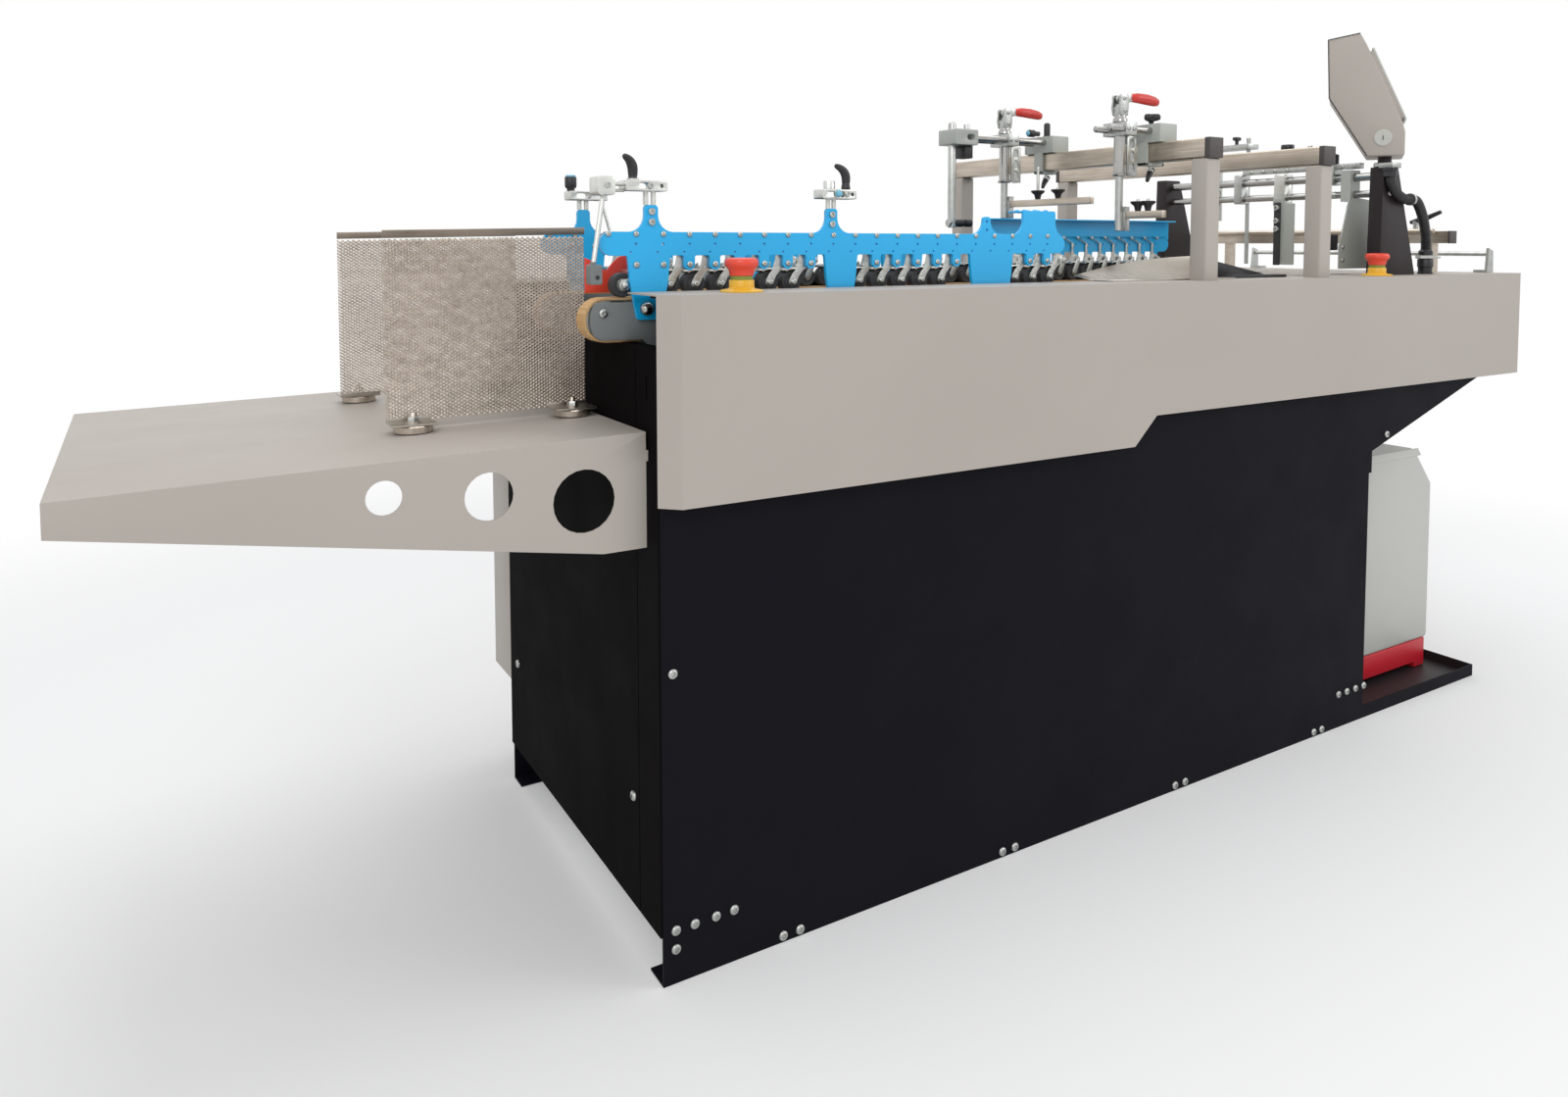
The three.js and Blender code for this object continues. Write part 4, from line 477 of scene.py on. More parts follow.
def to_mesh(bm, name):
    mesh = bpy.data.meshes.new(name)
    bm.to_mesh(mesh)
    bm.free()
    return mesh


def dress_mesh(name, mesh, material, body, stands_for=(), smooth=40):
    mesh.name = name
    mesh.materials.clear()
    mesh.materials.append(material)
    for face in mesh.polygons:
        face.use_smooth = True
        face.material_index = 0
    mesh.set_sharp_from_angle(angle=math.radians(smooth))
    made = bpy.data.objects.new(name, mesh)
    bpy.context.collection.objects.link(made)
    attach(made, body)
    if stands_for:
        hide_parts(*stands_for)
    print(name, "has", len(mesh.polygons), "faces and rides on", body)


@contextmanager
def piece(name, material, body, slot=None, stands_for=(), smooth=40):
    bm = bmesh.new()
    yield bm
    bmesh.ops.remove_doubles(bm, verts=bm.verts, dist=1e-6)
    bmesh.ops.recalc_face_normals(bm, faces=bm.faces)
    dress_mesh(name, to_mesh(bm, name), material, body, stands_for, smooth)


# %% [markdown]
# ## Bends in sheet metal
# A folded sheet has a rounded outer bend where the frame's node has a sharp corner. A copy of the node is
# merged, its flat faces are joined, and only the edges between two broad faces that stand out are rounded.
# A curved sheet is only merged, and its triangles joined in pairs, so that light runs on without facets.

# %% Copies of the frame's nodes
FLAT = math.radians(0.6)
TWIST = math.radians(12)
CORNER = math.radians(30)
BROAD = 300.0 * MM**2


def merged_copy(node):
    bm = bmesh.new()
    bm.from_mesh(frame["nodes"][node].data)
    bmesh.ops.remove_doubles(bm, verts=bm.verts, dist=2e-6)
    return bm


def stand_in(prefix, node, bm, material, smooth):
    body = frame["nodes"][node]["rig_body"]
    dress_mesh(prefix + node, to_mesh(bm, node), material, body, [node], smooth)


def with_bends(node, radius, material):
    bm = merged_copy(node)
    bmesh.ops.dissolve_limit(bm, angle_limit=FLAT, verts=bm.verts, edges=bm.edges)
    bends = [
        e
        for e in bm.edges
        if len(e.link_faces) == 2
        and e.calc_face_angle_signed(0) > CORNER
        and min(f.calc_area() for f in e.link_faces) > BROAD
    ]
    bmesh.ops.bevel(
        bm, geom=bends, offset=radius * MM, segments=3, profile=0.5, affect="EDGES", clamp_overlap=True
    )
    bmesh.ops.triangulate(bm, faces=[f for f in bm.faces if len(f.verts) > 4])
    stand_in("dressed_", node, bm, material, 40)


def smoothed(node, material):
    bm = merged_copy(node)
    bmesh.ops.join_triangles(bm, faces=bm.faces, angle_face_threshold=TWIST, angle_shape_threshold=math.pi)
    stand_in("smooth_", node, bm, material, 50)


bm = merged_copy("delivery_tray")
print("merged, the delivery tray has", len(bm.verts), "corners")
bm.free()

# %% Covers, posts and ploughs
covers = {"rear_top_cover": 3.0, "rear_drive_cover": 2.5, "delivery_tray": 2.5, "console_case": 3.0}
for gantry in ("gantry_1", "gantry_2"):
    covers[gantry + "_front_post"] = 3.0
    covers[gantry + "_rear_post"] = 3.0
for node, radius in covers.items():
    with_bends(node, radius, grey_coat)
for node in ("gantry_1_beam", "gantry_2_beam"):
    with_bends(node, 3.0, stainless_y)
with_bends("rear_feeder_bracket", 3.0, stand_coat)
with_bends("pump_casing", 9.0, pump_coat)
with_bends("pump_base", 3.0, pump_red_coat)
smoothed("fold_plough", stainless_x)
smoothed("lift_plough", black_nylon)

# %% [markdown]
# ## Repeats
# Bolts, wheels, arms, springs and strands repeat. A Geometry Nodes tree puts a template on every spot and
# turns it to face its way. Each copy may also turn by chance about that way, as bolts do when a hand has
# tightened them. Three functions open a tree with named inputs, close it, and turn its result into a plain
# mesh.

# %% Trees


def new_tree(name, inputs):
    tree = bpy.data.node_groups.new(name, "GeometryNodeTree")
    for label, kind in {"Geometry": "Geometry", **inputs, "Finish": "Material"}.items():
        tree.interface.new_socket(label, in_out="INPUT", socket_type="NodeSocket" + kind)
    tree.interface.new_socket("Geometry", in_out="OUTPUT", socket_type="NodeSocketGeometry")
    return tree, tree.nodes.new("NodeGroupInput").outputs


def end_tree(tree, geometry, coat):
    real = add(tree, "GeometryNodeRealizeInstances", (), {"Geometry": geometry})
    coated = add(tree, "GeometryNodeSetMaterial", (), {"Geometry": real.outputs[0], "Material": coat})
    add(tree, "NodeGroupOutput", (), {0: coated.outputs[0]})
    print(tree.name, "has", len(tree.nodes), "nodes")


def grown(tree, spots, values, edges=()):
    """The plain mesh that a tree makes from spots of the drawing."""
    points = bpy.data.meshes.new(tree.name)
    points.from_pydata([at(*spot) for spot in spots], edges, [])
    holder = bpy.data.objects.new(tree.name, points)
    bpy.context.collection.objects.link(holder)
    modifier = holder.modifiers.new("tree", "NODES")
    modifier.node_group = tree
    for socket in tree.interface.items_tree:
        if socket.in_out == "INPUT" and socket.name in values:
            modifier[socket.identifier] = values[socket.name]
    ready = holder.evaluated_get(bpy.context.evaluated_depsgraph_get())
    mesh = bpy.data.meshes.new_from_object(ready)
    bpy.data.objects.remove(holder)
    return mesh


print("node trees so far:", len(bpy.data.node_groups))

# %% Repeat on spots
repeat_tree, given = new_tree("repeat on spots", {"Template": "Object", "Facing": "Vector", "Turn": "Float"})
chance = add(repeat_tree, "FunctionNodeRandomValue", {"data_type": "FLOAT", "Seed": 7}, {3: given["Turn"]})
spin = add(repeat_tree, "ShaderNodeCombineXYZ", (), {"Z": chance.outputs[1]})
spun = add(repeat_tree, "FunctionNodeEulerToRotation", (), {0: spin.outputs[0]})
faced = add(
    repeat_tree,
    "FunctionNodeAlignRotationToVector",
    {"axis": "Z"},
    {"Rotation": spun.outputs[0], "Vector": given["Facing"]},
)
copied = add(repeat_tree, "GeometryNodeObjectInfo", (), {"Object": given["Template"]})
placed = add(
    repeat_tree,
    "GeometryNodeInstanceOnPoints",
    (),
    {"Points": given["Geometry"], "Instance": copied.outputs["Geometry"], "Rotation": faced.outputs[0]},
)
end_tree(repeat_tree, placed.outputs[0], given["Finish"])

# %% Scattered pieces
FRONT, REAR, LEFT, RIGHT, UP = (0, -1, 0), (0, 1, 0), (-1, 0, 0), (1, 0, 0), (0, 0, 1)
ANY_TURN = 2 * math.pi


def template(bm):
    """A mesh modelled round the drawing's zero point, ready to be repeated."""
    bmesh.ops.remove_doubles(bm, verts=bm.verts, dist=1e-6)
    bmesh.ops.recalc_face_normals(bm, faces=bm.faces)
    bmesh.ops.translate(bm, vec=-at(0, 0, 0), verts=bm.verts)
    return to_mesh(bm, "template")


def scatter(name, shape, spots, facing, material, body, stands_for=(), turn=0.0, smooth=35):
    model = bpy.data.objects.new(name + " model", shape)
    bpy.context.collection.objects.link(model)
    values = {"Template": model, "Facing": facing, "Turn": turn, "Finish": material}
    mesh = grown(repeat_tree, spots, values)
    bpy.data.objects.remove(model)
    print(len(spots), "copies:")
    dress_mesh(name, mesh, material, body, stands_for, smooth)


def screws(name, shape, spots, facing, body):
    scatter(name, shape, spots, facing, zinc, body, turn=ANY_TURN)


def tell(name, shape):
    """Says what a template is made of, and clears it."""
    print(name, "has", len(shape.polygons), "faces")
    bpy.data.meshes.remove(shape)


print("a screw may turn by", round(ANY_TURN, 2), "radians")

# %% Screws and nuts


def button_bolt(radius):
    bm = bmesh.new()
    shape = [(1.0, -0.1), (1.0, 0.22), (0.9, 0.42), (0.66, 0.56), (0.42, 0.58), (0.4, 0.25), (0.0, 0.22)]
    turned(bm, [(radius * r, radius * h) for r, h in shape], (0, 0, 0), UP, 12)
    return template(bm)


def socket_bolt(radius, height):
    bm = bmesh.new()
    profile = [(radius, -0.4), (radius, height - 0.5), (0.88 * radius, height), (0.52 * radius, height)]
    profile += [(0.5 * radius, 0.45 * height), (0.0, 0.45 * height)]
    turned(bm, profile, (0, 0, 0), UP, 12)
    return template(bm)


def hex_nut(across, height):
    bm = bmesh.new()
    r = across / math.sqrt(3)
    profile = [(r, -0.3), (r, height * 0.8), (0.88 * r, height), (0.5 * r, height), (0.5 * r, height * 1.5)]
    turned(bm, profile + [(0.3 * r, height * 1.6)], (0, 0, 0), UP, 6)
    return template(bm)


tell("a button bolt", button_bolt(5))
tell("a socket bolt", socket_bolt(5, 5))
tell("a nut", hex_nut(8, 3))

# %% [markdown]
# ## Wheel carriers
# The feature that takes the most skill: two blue plates cut like combs. Each tongue carries a cast arm that
# leans back to its wheel, and a spring pulls the arm's finger so that the wheel presses on the belt. The
# bolts, the two rows of spare holes and the sprung arms repeat every 39 mm.

# %% Carrier sizes
WHEEL_PITCH = 39.0
FIRST_BOLT_X = -23.0
WHEEL_RADIUS = 16.5
WHEEL_Z = 892.3 + WHEEL_RADIUS
ARM_REACH = 27.0
PIVOT_Z = WHEEL_Z + ARM_REACH
BAND_LOW, BAND_HIGH = 948.0, 980.0
BAND_HALF = (BAND_HIGH - BAND_LOW) / 2
BAND_MID = BAND_LOW + BAND_HALF
LOBE_X = -35.0
TONGUE_HALF = 8.0
LUG_Z = 862.0
TOP_BOLT_Z = 977.0
FILLET = 22.0
PLATE = 6.0
FRONT_Y, REAR_Y = 100.0, 345.0
DRIVE_X = 1287.0
FRONT_END_X, REAR_END_X = 797.0, 1345.0
FRONT_LUGS = [(4, 65), (313, 371), (589, 680)]
REAR_LUGS = FRONT_LUGS + [(960, 1010)]


def pivot_x(i):
    return FIRST_BOLT_X + i * WHEEL_PITCH


def pivots(end_x, lugs, spare=0.0):
    """The bolts up to the plate's end that no lug takes."""
    count = math.ceil((end_x - spare - FIRST_BOLT_X) / WHEEL_PITCH)
    found = [pivot_x(i) for i in range(1, count)]
    return [x for x in found if not any(a - TONGUE_HALF < x < b + TONGUE_HALF for a, b in lugs)]


print(len(pivots(FRONT_END_X, FRONT_LUGS)), "bolts of the front plate are free for a wheel")

# %% [markdown]
# The plate's outline runs round a broad band. Below it hang the tongues and the lugs, above it stand the
# towers.

# %% Comb outline
CORNER_R = 3.0
LUG_R = 5.0
TOWER_R = 5.0


def lug_edge(a, b):
    """A lug narrows in two steps, to a foot with round corners."""
    z = LUG_Z + LUG_R
    foot = arc(a + 17, z, LUG_R, 180, 270, 3) + arc(b - 17, z, LUG_R, 270, 360, 3)
    return [(a + 3, 914), (a + 12, z), *foot, (b - 12, z), (b - 3, 914)]


def comb_edge(end_x, lugs):
    edge = []
    shapes = [(x - TONGUE_HALF, x + TONGUE_HALF, x) for x in pivots(end_x, lugs, TONGUE_HALF)]
    shapes += [(a, b, None) for a, b in lugs]
    for a, b, middle in sorted(shapes):
        edge += arc(a - CORNER_R, BAND_LOW - CORNER_R, CORNER_R, 90, 0, 3)
        edge += arc(middle, PIVOT_Z, TONGUE_HALF, 180, 360, 8) if middle else lug_edge(a, b)
        edge += arc(b + CORNER_R, BAND_LOW - CORNER_R, CORNER_R, 180, 90, 3)
    return edge


def tower(x, width, top):
    h = width / 2
    right = arc(x + h + FILLET, BAND_HIGH + FILLET, FILLET, 270, 180, 6)
    left = arc(x - h - FILLET, BAND_HIGH + FILLET, FILLET, 0, -90, 6)
    cap = arc(x + h - TOWER_R, top - TOWER_R, TOWER_R, 0, 90, 4)
    cap += arc(x - h + TOWER_R, top - TOWER_R, TOWER_R, 90, 180, 4)
    return right + cap + left


def carrier_plate(bm, end_x, lugs, y, top_edge, holes=()):
    left = arc(LOBE_X + BAND_HALF, BAND_MID, BAND_HALF, 90, 265, 8)
    right = arc(end_x - BAND_HALF, BAND_MID, BAND_HALF, -85, 75, 8)
    spare = []
    for x in [pivot_x(i) for i in range(1, 60) if pivot_x(i) <= end_x - 12]:
        spare += [(x, BAND_LOW + 15.5, 1.9), (x - 8, BAND_LOW + 4.6, 1.5)]
    outline = left + comb_edge(end_x, lugs) + right + top_edge
    slab(bm, outline, y, y + PLATE, spare + list(holes))
    print("the plate's outline has", len(outline), "points")


print("the front plate's comb has", len(comb_edge(FRONT_END_X, FRONT_LUGS)), "points")

# %% [markdown]
# ### Sprung arms
# A cast fork has a finger, an eye, a curved leg and a hub, with a guard over the wheel. Depths run from the
# plate's face, and side is 1 where the wheels are behind the plate.

# %% Arm
WHEEL_WIDTH = 17.6
WHEEL_GAP = 10.2
NEAR_LEG, FAR_LEG, GUARD = (6.5, 9.6), (28.6, 31.0), (6.6, 30.8)


def behind(side, depths):
    return sorted(side * depth for depth in depths)


def arm_template(side):
    bm = bmesh.new()
    leg = arc(-ARM_REACH, WHEEL_Z, 6.5, 150, 325, 7) + [(-16, WHEEL_Z + 9), (-9, WHEEL_Z + 17)]
    leg += arc(0, PIVOT_Z, 6.5, -100, 80, 6) + [(-7, PIVOT_Z + 9), (-9.3, PIVOT_Z + 16), (-10, PIVOT_Z + 30)]
    leg += [(-14.5, PIVOT_Z + 30), (-15, PIVOT_Z + 16), (-17, PIVOT_Z + 4), (-21, PIVOT_Z - 8)]
    leg += [(-28, WHEEL_Z + 12)]
    slab(bm, leg, *behind(side, NEAR_LEG), edge=0.6)
    far = arc(-ARM_REACH, WHEEL_Z, 6.0, 150, 330, 6)
    far += [(-13, PIVOT_Z - 8), (-12, PIVOT_Z + 2), (-22, PIVOT_Z - 2)]
    slab(bm, far, *behind(side, FAR_LEG), edge=0.5)
    guard = arc(-ARM_REACH, WHEEL_Z, 21.0, 50, 125, 7) + arc(-ARM_REACH, WHEEL_Z, 18.2, 125, 50, 7)
    slab(bm, guard, *behind(side, GUARD), edge=0.6)
    turned(bm, [(5.4, 0), (5.4, 2.6), (4.8, 3.2)], (-ARM_REACH, side * 6.8, WHEEL_Z), (0, -side, 0), 12)
    return template(bm)


tell("an arm", arm_template(1))

# %% Wheel


def mirrored(half, width):
    """A wheel's profile, from the half at one of its faces."""
    return half + [(radius, width - depth) for radius, depth in reversed(half)]


def wheel_template(half, side, steps):
    bm = bmesh.new()
    turned(bm, mirrored(half, WHEEL_WIDTH), (0, side * WHEEL_GAP, 0), (0, side, 0), steps)
    return template(bm)


R = WHEEL_RADIUS
TYRE = [(9.6, 2.4), (9.6, 0.6), (R - 1.8, 0), (R - 0.5, 1.0), (R, 3.4)]
HUB = [(4.4, 1.9), (5.2, 0.8), (8.4, 0.8), (9.5, 2.2)]
print("wheels are", 2 * R, "mm across")

# %% Spring and stud
COIL_STEPS = 7


def coil(start, end, radius, turns):
    """Points of a spring from start to end."""
    start, end = Vector(start), Vector(end)
    way = (end - start).normalized()
    across = way.orthogonal().normalized()
    up = way.cross(across)
    points = []
    for i in range(turns * COIL_STEPS + 1):
        angle = 2 * math.pi * i / COIL_STEPS
        reach = across * math.cos(angle) + up * math.sin(angle)
        points.append(start.lerp(end, i / (turns * COIL_STEPS)) + reach * radius)
    return points


def spring_template(side):
    bm = bmesh.new()
    top = (-WHEEL_PITCH, side * 11.5, TOP_BOLT_Z)
    bent(bm, coil(top, (-12.5, side * 9.5, PIVOT_Z + 28.5), 2.1, 8), 0.55, 4)
    return template(bm)


def stud_template(side):
    bm = bmesh.new()
    profile = [(2.2, 0), (2.2, 5.2), (3.4, 5.4), (3.4, 6.8), (2.4, 7.6)]
    turned(bm, profile, (0, side * PLATE, 0), (0, side, 0), 10)
    return template(bm)


tell("a spring", spring_template(1))
tell("a stud", stud_template(1))

# %% A row of sprung wheels


def sprung_row(name, body, node, face_y, side, end_x, lugs):
    wheels = pivots(min(end_x, DRIVE_X + ARM_REACH), lugs)
    out = (0, -side, 0)
    row = [(x, face_y, 0) for x in wheels]
    hubs = [(x - ARM_REACH, face_y, WHEEL_Z) for x in wheels]
    tyre, hub = wheel_template(TYRE, side, 24), wheel_template(HUB, side, 16)
    scatter(name + "_arms", arm_template(side), row, UP, cast_zinc, body, [node])
    scatter(name + "_springs", spring_template(side), row, UP, zinc, body, [node], smooth=60)
    scatter(name + "_tyres", tyre, hubs, UP, wheel_rubber, body, [node])
    scatter(name + "_wheel_centres", hub, hubs, UP, wheel_nylon, body, [node])
    axle_bolts = [(x, face_y + side * 3.8, z) for x, y, z in hubs]
    screws(name + "_axle_bolts", button_bolt(4.6), axle_bolts, out, body)
    tops = [(pivot_x(i), face_y, TOP_BOLT_Z) for i in range(60) if pivot_x(i) < end_x - 10]
    screws(name + "_edge_bolts", button_bolt(4.0), tops, out, body)
    scatter(name + "_studs", stud_template(side), tops, UP, zinc, body)
    held = wheels + [x for x in (pivot_x(1), pivot_x(2)) if x not in wheels]
    screws(name + "_pivot_bolts", button_bolt(4.5), [(x, face_y, PIVOT_Z) for x in held], out, body)
    nuts = [(x, face_y + side * 9.6, PIVOT_Z) for x in wheels]
    screws(name + "_pivot_nuts", hex_nut(8, 3.2), nuts, (0, side, 0), body)


print("the rear plate has room for", len(pivots(REAR_END_X, REAR_LUGS)), "wheels")

# %% [markdown]
# ### Front carrier
# Two towers hold the clamp blocks, a small ear stands over the third lug, and the right end is folded to a
# bracket.

# %% Front carrier
TOWERS = (38.0, 325.0)
TOWER_WIDTH, TOWER_TOP = 20.0, 1016.0
EAR_X = 624.0
BRACKET = (703.0, 775.0)
BRACKET_TOP = 1019.0
front_top = [(779, 986), (BRACKET[1] + 0.6, 994), (BRACKET[1], BRACKET_TOP - 4)]
front_top += [(BRACKET[1] - 3, BRACKET_TOP), (BRACKET[0] + 3, BRACKET_TOP), (BRACKET[0], BRACKET_TOP - 4)]
front_top += arc(BRACKET[0] - FILLET, BAND_HIGH + FILLET, FILLET, 0, -90, 6) + tower(EAR_X, 15, 1008)
front_top += tower(TOWERS[1], TOWER_WIDTH, TOWER_TOP) + tower(TOWERS[0], TOWER_WIDTH, TOWER_TOP)
ear_holes = [(EAR_X, 1000, 2.6), (EAR_X, 986, 2.6)]
FRONT_NODE = "front_upper_carrier"
with piece("front_carrier_plate", blue_paint, "front_carrier", "blue_plate", [FRONT_NODE], 12) as bm:
    carrier_plate(bm, FRONT_END_X, FRONT_LUGS, FRONT_Y, front_top, ear_holes)
    blocky(bm, (BRACKET[0], 101, BRACKET_TOP - 3), (BRACKET[1], 140, BRACKET_TOP), 1.0)
sprung_row("front_row", "front_carrier", FRONT_NODE, FRONT_Y, 1, FRONT_END_X, FRONT_LUGS)

tower_bolts = [(x, FRONT_Y, z) for x in TOWERS for z in (1007, 993)]
screws("tower_bolts", socket_bolt(4.8, 3.6), tower_bolts, FRONT, "front_carrier")
flange_bolts = [(x, y, BRACKET_TOP) for x in (715, 739, 763) for y in (112, 130)]
scatter("bracket_bolts", button_bolt(4.2), flange_bolts, UP, blue_paint, "front_carrier")

# %% [markdown]
# ### Rear carrier
# The same comb, longer. An angle stiffens its right half, and the clamp block stands on one tower.

# %% Rear carrier
REAR_TOWER = 32.0
ANGLE_X, ANGLE_TOP = 830.0, 1013.0
REAR_NODE = "rear_upper_carrier"
rear_top = [(REAR_END_X - 4, BAND_HIGH)] + tower(REAR_TOWER, TOWER_WIDTH, TOWER_TOP)
with piece("rear_carrier_plate", blue_paint, "rear_carrier", "blue_plate", [REAR_NODE], 12) as bm:
    carrier_plate(bm, REAR_END_X, REAR_LUGS, REAR_Y, rear_top)
    blocky(bm, (ANGLE_X, REAR_Y, BAND_HIGH - 6), (REAR_END_X, REAR_Y + PLATE, ANGLE_TOP), 1.2)
    blocky(bm, (ANGLE_X, REAR_Y - 20, ANGLE_TOP - 3), (REAR_END_X, REAR_Y + PLATE, ANGLE_TOP), 1.2)
sprung_row("rear_row", "rear_carrier", REAR_NODE, REAR_Y + PLATE, -1, REAR_END_X, REAR_LUGS)
small_bolts = [(pivot_x(i) - 7, REAR_Y, 961) for i in range(1, 35)]
screws("rear_small_bolts", button_bolt(3.2), small_bolts, FRONT, "rear_carrier")

# %% [markdown]
# ### Clamp blocks and levers
# A slotted aluminium block stands on two pins over each tower. The front one reaches left to a hinge block,
# whose slanted rod hangs a sensor beside the lead wheel. Black indexed levers and a capped knob lock them.

# %% Clamp blocks
CLAMP_LOW, CLAMP_HIGH = 1030.0, 1044.0
CLAMP_MID = (CLAMP_LOW + CLAMP_HIGH) / 2
PIN_FOOT = TOWER_TOP - 0.2
FRONT_BLOCK_Y, REAR_BLOCK_Y = 103.0, 348.0
LEFT_LEVER_X, MID_LEVER_X = 13.0, 351.5


def clamp_block(bm, x, y, slot_from, slot_to, hole, pins, low=CLAMP_LOW):
    middle = low + 7
    slot = rounded(slot_from, slot_to, middle - 4.4, middle + 4.4, 4.3)
    slab(bm, rounded(x - 30, x + 30, low, low + 14, 2), y - 13, y + 13, [(hole, middle, 2.6)], 0.6, [slot])
    for pin in pins:
        turned(bm, [(3.6, 0), (3.6, low - PIN_FOOT + 0.4)], (pin, y, PIN_FOOT), UP, 14)


print("the blocks stand", CLAMP_LOW - TOWER_TOP, "mm above their towers")

# %% Front clamp block and sensor
FRONT_MACHINED = ("front_carrier", "machined_aluminium")
with piece("clamp_block_front", aluminium, *FRONT_MACHINED, ["front_clamp_block"]) as bm:
    clamp_block(bm, 28, FRONT_BLOCK_Y, 17, 37, 49, (31, 42), CLAMP_LOW + 4)
    turned(bm, [(8.6, 0), (8.6, 2.3)], (LEFT_LEVER_X, FRONT_BLOCK_Y, CLAMP_LOW + 18), UP, 20)
    turned(bm, [(3.4, 0), (3.4, 24)], (-22, 97, 1043), RIGHT, 14)
    turned(bm, [(2.6, 0), (2.6, 24)], (-22, 107, 1035), RIGHT, 14)
    slab(bm, rounded(-44, -20, 1027, 1051.5, 4), 80, 112, edge=1.0)
    bent(bm, [(-31, 96, 1030), (-49, 88, 934)], 3.3, 14)
with piece("lead_sensor", carrier_coat, *FRONT_MACHINED, ["front_clamp_block"]) as bm:
    slab(bm, rounded(-55.5, -39.5, 911, 937, 2.5), 79, 97, [(-46, 920, 3)], 0.8)
    turned(bm, [(4.2, 0), (4.2, 3), (3.6, 4)], (-49, 88, 936.5), UP, 12)

# %% Middle and rear clamp blocks
PLUG_Z = CLAMP_MID + 0.6
with piece("clamp_block_middle", aluminium, *FRONT_MACHINED, ["mid_clamp_block"]) as bm:
    clamp_block(bm, 333, FRONT_BLOCK_Y, 311, 342, 355, (320, 330))
    turned(bm, [(8.6, 0), (8.6, 12), (7.8, 13)], (322, FRONT_BLOCK_Y, 1043.6), UP, 20)
    turned(bm, [(6.4, 0), (6.4, 4)], (328, 90.2, PLUG_Z), FRONT, 16)
with piece("blue_plug", blue_cap, "front_carrier", "blue_plate") as bm:
    turned(bm, [(5.2, 0), (5.2, 2), (4.2, 4), (2.2, 5.2), (0, 5.6)], (328, 86.2, PLUG_Z), FRONT, 16)
with piece("clamp_block_rear", aluminium, "rear_carrier", "machined_aluminium", [REAR_NODE]) as bm:
    clamp_block(bm, 37, REAR_BLOCK_Y, 18, 41, 58, (26, 37))
    bent(bm, [(61, REAR_BLOCK_Y, 1032), (74, REAR_BLOCK_Y - 2, 984)], 2.6, 12)
clamp_screws = [(-31, 80, CLAMP_MID + 3), (33, 91, CLAMP_MID + 4), (346, 90, CLAMP_MID + 0.5)]
screws("clamp_screws", socket_bolt(4.4, 2.4), clamp_screws, FRONT, "front_carrier")

# %% Clamping levers and the capped knob
LEVER_FOOT = CLAMP_HIGH + 0.3


def clamp_lever(node, x, y, toward):
    way = Vector(toward).normalized()
    route = [(0, 5), (-0.5, 15), (0, 22), (4, 28), (12, 33), (22, 35.5)]
    points = [(x + way.x * out, y + way.y * out, LEVER_FOOT + up) for out, up in route]
    with piece(node + "_grip", black_nylon, node, "black_grip", [node], 50) as bm:
        turned(bm, [(6.4, 0), (7.0, 1), (7.0, 4), (6.2, 5), (6.4, 12)], (x, y, LEVER_FOOT), UP, 18)
        bent(bm, points, [6.4, 7.0, 7.6, 7.0, 5.2, 3.4], 14, 0.85)
    rounding = bpy.data.objects[node + "_grip"].modifiers.new("rounding", "SUBSURF")
    rounding.levels = 1
    rounding.render_levels = 1


clamp_lever("front_clamp_lever", LEFT_LEVER_X, FRONT_BLOCK_Y, (-0.83, -0.55, 0))
clamp_lever("mid_clamp_lever", MID_LEVER_X, FRONT_BLOCK_Y, (-1, -0.1, 0))
with piece("rear_knob_body", black_nylon, "rear_clamp_knob", "black_grip", ["rear_clamp_knob"]) as bm:
    knob = [(5.8, 0), (5.8, 3), (8.2, 5), (8.9, 8), (8.9, 20), (8.2, 21)]
    turned(bm, knob, (LEFT_LEVER_X, REAR_BLOCK_Y, LEVER_FOOT), UP, 20)
with piece("rear_knob_cap", blue_cap, "rear_clamp_knob", "black_grip") as bm:
    cap = [(7.6, 0), (7.6, 2), (6.4, 3)]
    turned(bm, cap, (LEFT_LEVER_X, REAR_BLOCK_Y, LEVER_FOOT + 20.9), UP, 20)

# %% [markdown]
# ### Lead wheel, finger guard and nose
# The first wheel has its own curved lever. A red guard stands behind it on a spacer, and a chromed dome
# closes the shaft that comes through the first lug.

# %% Lead wheel
LEAD_X, LEAD_Y = 2.0, 111.6
LEAD_PIVOT = (34.0, WHEEL_Z + 32)
LEAD_WIDTH = 18.0
tread = mirrored([(9.8, 2.4), (9.8, 0.6), (14.7, 0), (16.0, 1.0), (16.5, 3.4)], LEAD_WIDTH)
centre = mirrored([(4.7, 1.9), (5.4, 0.9), (8.8, 0.9), (9.7, 2.4)], LEAD_WIDTH)
with piece("lead_tyre", wheel_rubber, "lead_wheel", "black_rubber", ["lead_wheel"]) as bm:
    turned(bm, tread, (LEAD_X, LEAD_Y, WHEEL_Z), REAR, 36, closed=True)
with piece("lead_wheel_centre", cast_zinc, "lead_wheel", "black_rubber", ["lead_wheel"]) as bm:
    turned(bm, centre, (LEAD_X, LEAD_Y, WHEEL_Z), REAR, 24, closed=True)
arm = arc(LEAD_X, WHEEL_Z, 8, 120, 330, 8) + [(16, 909), (23, 916), (28, 925)]
arm += arc(*LEAD_PIVOT, 8, -60, 130, 8) + [(24, 938), (20.5, 929), (15, 921), (6, 917.5)]
